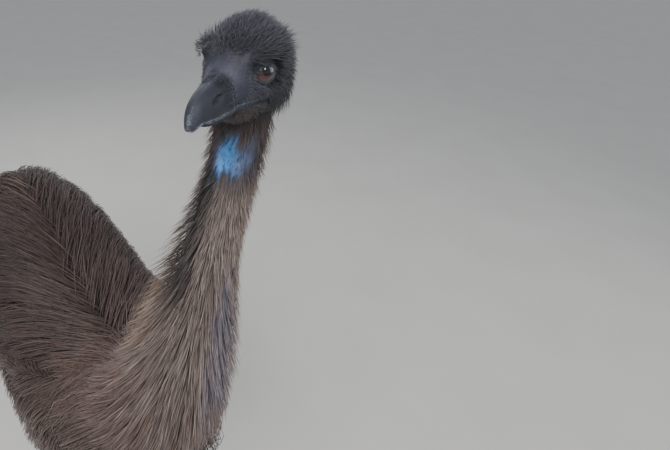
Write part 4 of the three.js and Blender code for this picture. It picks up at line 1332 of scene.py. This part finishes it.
def heel_point(share, angle):
    """The pad under the shank, which the leg stands on."""
    return stack(
        FOOT[0] + (0.027 - 0.003 * share) * np.sin(angle),
        FOOT[1] + 0.002 - (0.031 - 0.004 * share) * np.cos(angle),
        share * 0.056,
    )


def shank(flip, label, material):
    """Shank core with a column of overlapping front scutes, a knob at the hock, an ankle and a heel pad."""
    hock = np.array(HOCK) * 0.95 + np.array(FOOT) * 0.05
    parts = [
        form(lambda t, a: shank_point(t, a, -0.0006), 60, 28),
        ball(hock, (0.029, 0.035, 0.034), 28, 20),
        form(heel_point, 12, 28),
        ball(FOOT, (0.0282, 0.0285, 0.026), 28, 20),
    ]
    parts += [front_scute(0.06 + k * 0.035, 0.041) for k in range(26)]
    leg_piece(f"shank_scales_{label}", parts, flip, material, f"shank_{label}")


def plate_grid(start, end, half_turn, rows, cols, thin):
    """Shares, angles and thickness of one plate: full at its lower edge, thin where the next covers it."""
    share = np.linspace(start, min(end, 0.985), rows)[:, None]
    angle = np.linspace(-half_turn, half_turn, cols)[None, :]
    thick = np.clip(1 - np.abs(angle / half_turn) ** 6, 0, 1) * np.linspace(thin, 1, rows)[:, None]
    return (*np.broadcast_arrays(share, angle), thick)


def front_scute(start, size):
    """One plate on the front of the shank."""
    share, angle, thick = plate_grid(start, start + size, 1.15, 5, 13, 0.2)
    top = shank_point(share, angle + np.pi, 0.0002 + 0.0021 * thick)
    return shell(top, shank_point(share, angle + np.pi, np.full(thick.shape, -0.0012)))


def shell(top, under):
    """A closed plate from an upper and an under sheet of points."""
    rows, cols = top.shape[:2]
    points = np.concatenate([top.reshape(-1, 3), under.reshape(-1, 3)])
    i, j = np.meshgrid(np.arange(rows - 1), np.arange(cols - 1), indexing="ij")
    a = (i * cols + j).ravel()
    upper = np.stack([a, a + 1, a + cols + 1, a + cols], -1)
    lower = upper[:, ::-1] + rows * cols
    rim = list(range(cols)) + [r * cols + cols - 1 for r in range(1, rows)]
    rim += [(rows - 1) * cols + c for c in range(cols - 2, -1, -1)]
    rim += [r * cols for r in range(rows - 2, 0, -1)]
    rim = np.array(rim)
    nxt = np.roll(rim, -1)
    wall = np.stack([rim, rim + rows * cols, nxt + rows * cols, nxt], -1)
    return points, [np.concatenate([upper, lower, wall])]


def toe_point(length, width, height, joints, share, angle):
    """A toe along X, flat below, with a swelling at each joint."""
    pad = 1 + 0.1 * np.cos(2 * np.pi * joints * share)
    end = np.sqrt(np.clip(1 - np.clip((share - 0.9) / 0.1, 0, 1) ** 2 * 0.96, 0, 1))
    taper = (1 - 0.34 * share) * end
    top = height * (1 - 0.42 * share) * (0.42 + 0.58 * np.cos(angle) * end)
    return stack(share * length, width * taper * pad * np.sin(angle), np.maximum(0, top))


def claw_point(length, claw, share, angle):
    """The claw, which tapers and bends down from the end of a toe."""
    thick = 0.0072 * np.clip(1 - share, 0.02, 1) ** 0.7
    height = 0.010 - 0.009 * share ** 1.6 + thick * 1.1 * np.cos(angle)
    return stack(length - 0.010 + share * claw, thick * np.sin(angle), np.maximum(0.0006, height))


def toe(toe_row, flip, label, scale_material, claw_material):
    """A toe with overlapping plates along its top, and the claw at its end."""
    name, turn, length, width, height, joints, claw = toe_row
    spin = math.radians(turn) - math.pi / 2
    axes = np.array([[math.cos(spin), -math.sin(spin), 0], [math.sin(spin), math.cos(spin), 0], [0, 0, 1]])
    root = np.array([FOOT[0], FOOT[1] - 0.006, 0])
    size = (length, width, height, joints)
    parts = [form(lambda t, a: toe_point(*size, t, a), 60, 24)]
    count = int(length / TOE_PLATE)
    for k in range(3, count):
        share, angle, thick = plate_grid(k / count, (k + 1.25) / count, 0.95, 4, 9, 0.3)
        surface = toe_point(*size, share, angle)
        points, faces = shell(surface + stack(0, 0, 0.0003 + 0.0022 * thick), surface + DOWNWARD * 0.0012)
        parts.append((points, flipped(faces)))
    nail = form(lambda t, a: claw_point(length, claw, t, a), 24, 18)
    parts, nail = ([(p @ axes.T + root, faces) for p, faces in group] for group in (parts, [nail]))
    leg_piece(f"toe_scales_{name}_{label}", parts, flip, scale_material, f"toe_{name}_{label}")
    leg_piece(f"claw_sheath_{name}_{label}", nail, flip, claw_material, f"claw_{name}_{label}")


def leg_piece(name, parts, flip, material, node):
    """A piece of a leg from several forms, on the left or mirrored to the right."""
    points, faces = sided(flip, *joined(parts))
    slot = "horn" if name.startswith("claw") else "leg_scale"
    settle(mesh_object(name, points, faces, material), slot, node)


def camera():
    """The photo's camera, fitted from the bird's proportions."""
    turn, dip = math.radians(CAMERA_TURN), math.radians(CAMERA_DIP)
    forward = np.array([math.sin(turn) * math.cos(dip), math.cos(turn) * math.cos(dip), -math.sin(dip)])
    right = np.array([math.cos(turn), -math.sin(turn), 0])
    up = np.cross(right, forward)
    data = bpy.data.cameras.new("camera")
    data.sensor_width = 36
    data.lens = 36 * FOCUS_PIXELS / PICTURE_WIDTH
    data.shift_x = 0.5 - CENTRE_ACROSS / PICTURE_WIDTH
    data.clip_start = 0.01
    piece = bpy.data.objects.new("camera", data)
    bpy.context.scene.collection.objects.link(piece)
    axes = Matrix([[right[i], up[i], -forward[i]] for i in range(3)]).to_4x4()
    axes.translation = np.array(CAMERA_PLACE) + STEP
    piece.matrix_world = axes
    bpy.context.scene.camera = piece


def studio():
    """A plain pale floor and the soft, high light of an overcast day."""
    material, tree, shader = new_material("pale matt floor", Roughness=0.8, Specular_IOR_Level=0.2)
    where = add_node(tree, "ShaderNodeTexCoord").outputs["Object"]
    # Clouds of 330 mm
    cloud = add_node(tree, "ShaderNodeTexNoise", {"Scale": 3.0, "Detail": 3.0}, Vector=where)
    ramp = add_node(tree, "ShaderNodeValToRGB", stops=[(0, "#c9c5bf"), (1, "#d3d0ca")],
                    Fac=cloud.outputs["Fac"])
    plug(tree, shader, Base_Color=ramp.outputs["Color"])
    corners = np.array([[-1, -1, 0], [1, -1, 0], [1, 1, 0], [-1, 1, 0]])
    mesh_object("floor", corners * FLOOR_REACH - STEP, [np.array([[0, 1, 2, 3]])], material)
    world = bpy.data.worlds.new("soft sky")
    bpy.context.scene.world = world
    world.use_nodes = True
    sky = world.node_tree.nodes["Background"]
    sky.inputs["Color"].default_value = (*hex_colour("#e4ebf4"), 1)
    sky.inputs["Strength"].default_value = 0.62
    for name, place, aim, size, power in LIGHTS:
        data = bpy.data.lights.new(name, "AREA")
        data.size = size
        data.energy = power
        lamp = bpy.data.objects.new(name, data)
        bpy.context.scene.collection.objects.link(lamp)
        lamp.location = place
        lamp.rotation_euler = (Vector(aim) - Vector(place)).to_track_quat("-Z", "Y").to_euler()


def main():
    """Builds the bird: skin, coat, bill, and then the eyes, ears and legs side by side."""
    camera()
    studio()
    feather = feather_barbs()
    bare = emu_skin()
    slate = bill_horn()
    # Scuffs of 6.4 mm on the claws and 1.3 mm on lids and lips
    claw_horn = horn("claw horn, dark", "#1b1a1a", "#4d4843", 156.0)
    face = horn("lid and lip skin, slate and matt", "#23252c", "#5a606b", 780.0)
    scutes = scute_keratin()
    skin(bare)
    for part, cover in (("body", body_coat), ("chest", chest_coat), ("rump", rump_coat), ("neck", neck_coat),
                        ("head", head_coat), ("bill", bill_down), ("thigh", thigh_coat), ("wing", wing_coat)):
        cover(*TUFTS[part], feather)
    upper_bill(slate)
    lower_bill(slate)
    lips(face)
    iris = wet_eye("iris under a wet cornea, red-brown", "#4c312e", 0.06)
    pupil = wet_eye("pupil under a wet cornea", "#0a0908", 0.03)
    for label, side in SIDES:
        eye(side, label, iris, pupil)
        lids(side, label, face)
        ear(side, label, face)
        shank(side, label, scutes)
        for row in TOES:
            toe(row, side, label, scutes, claw_horn)


main()
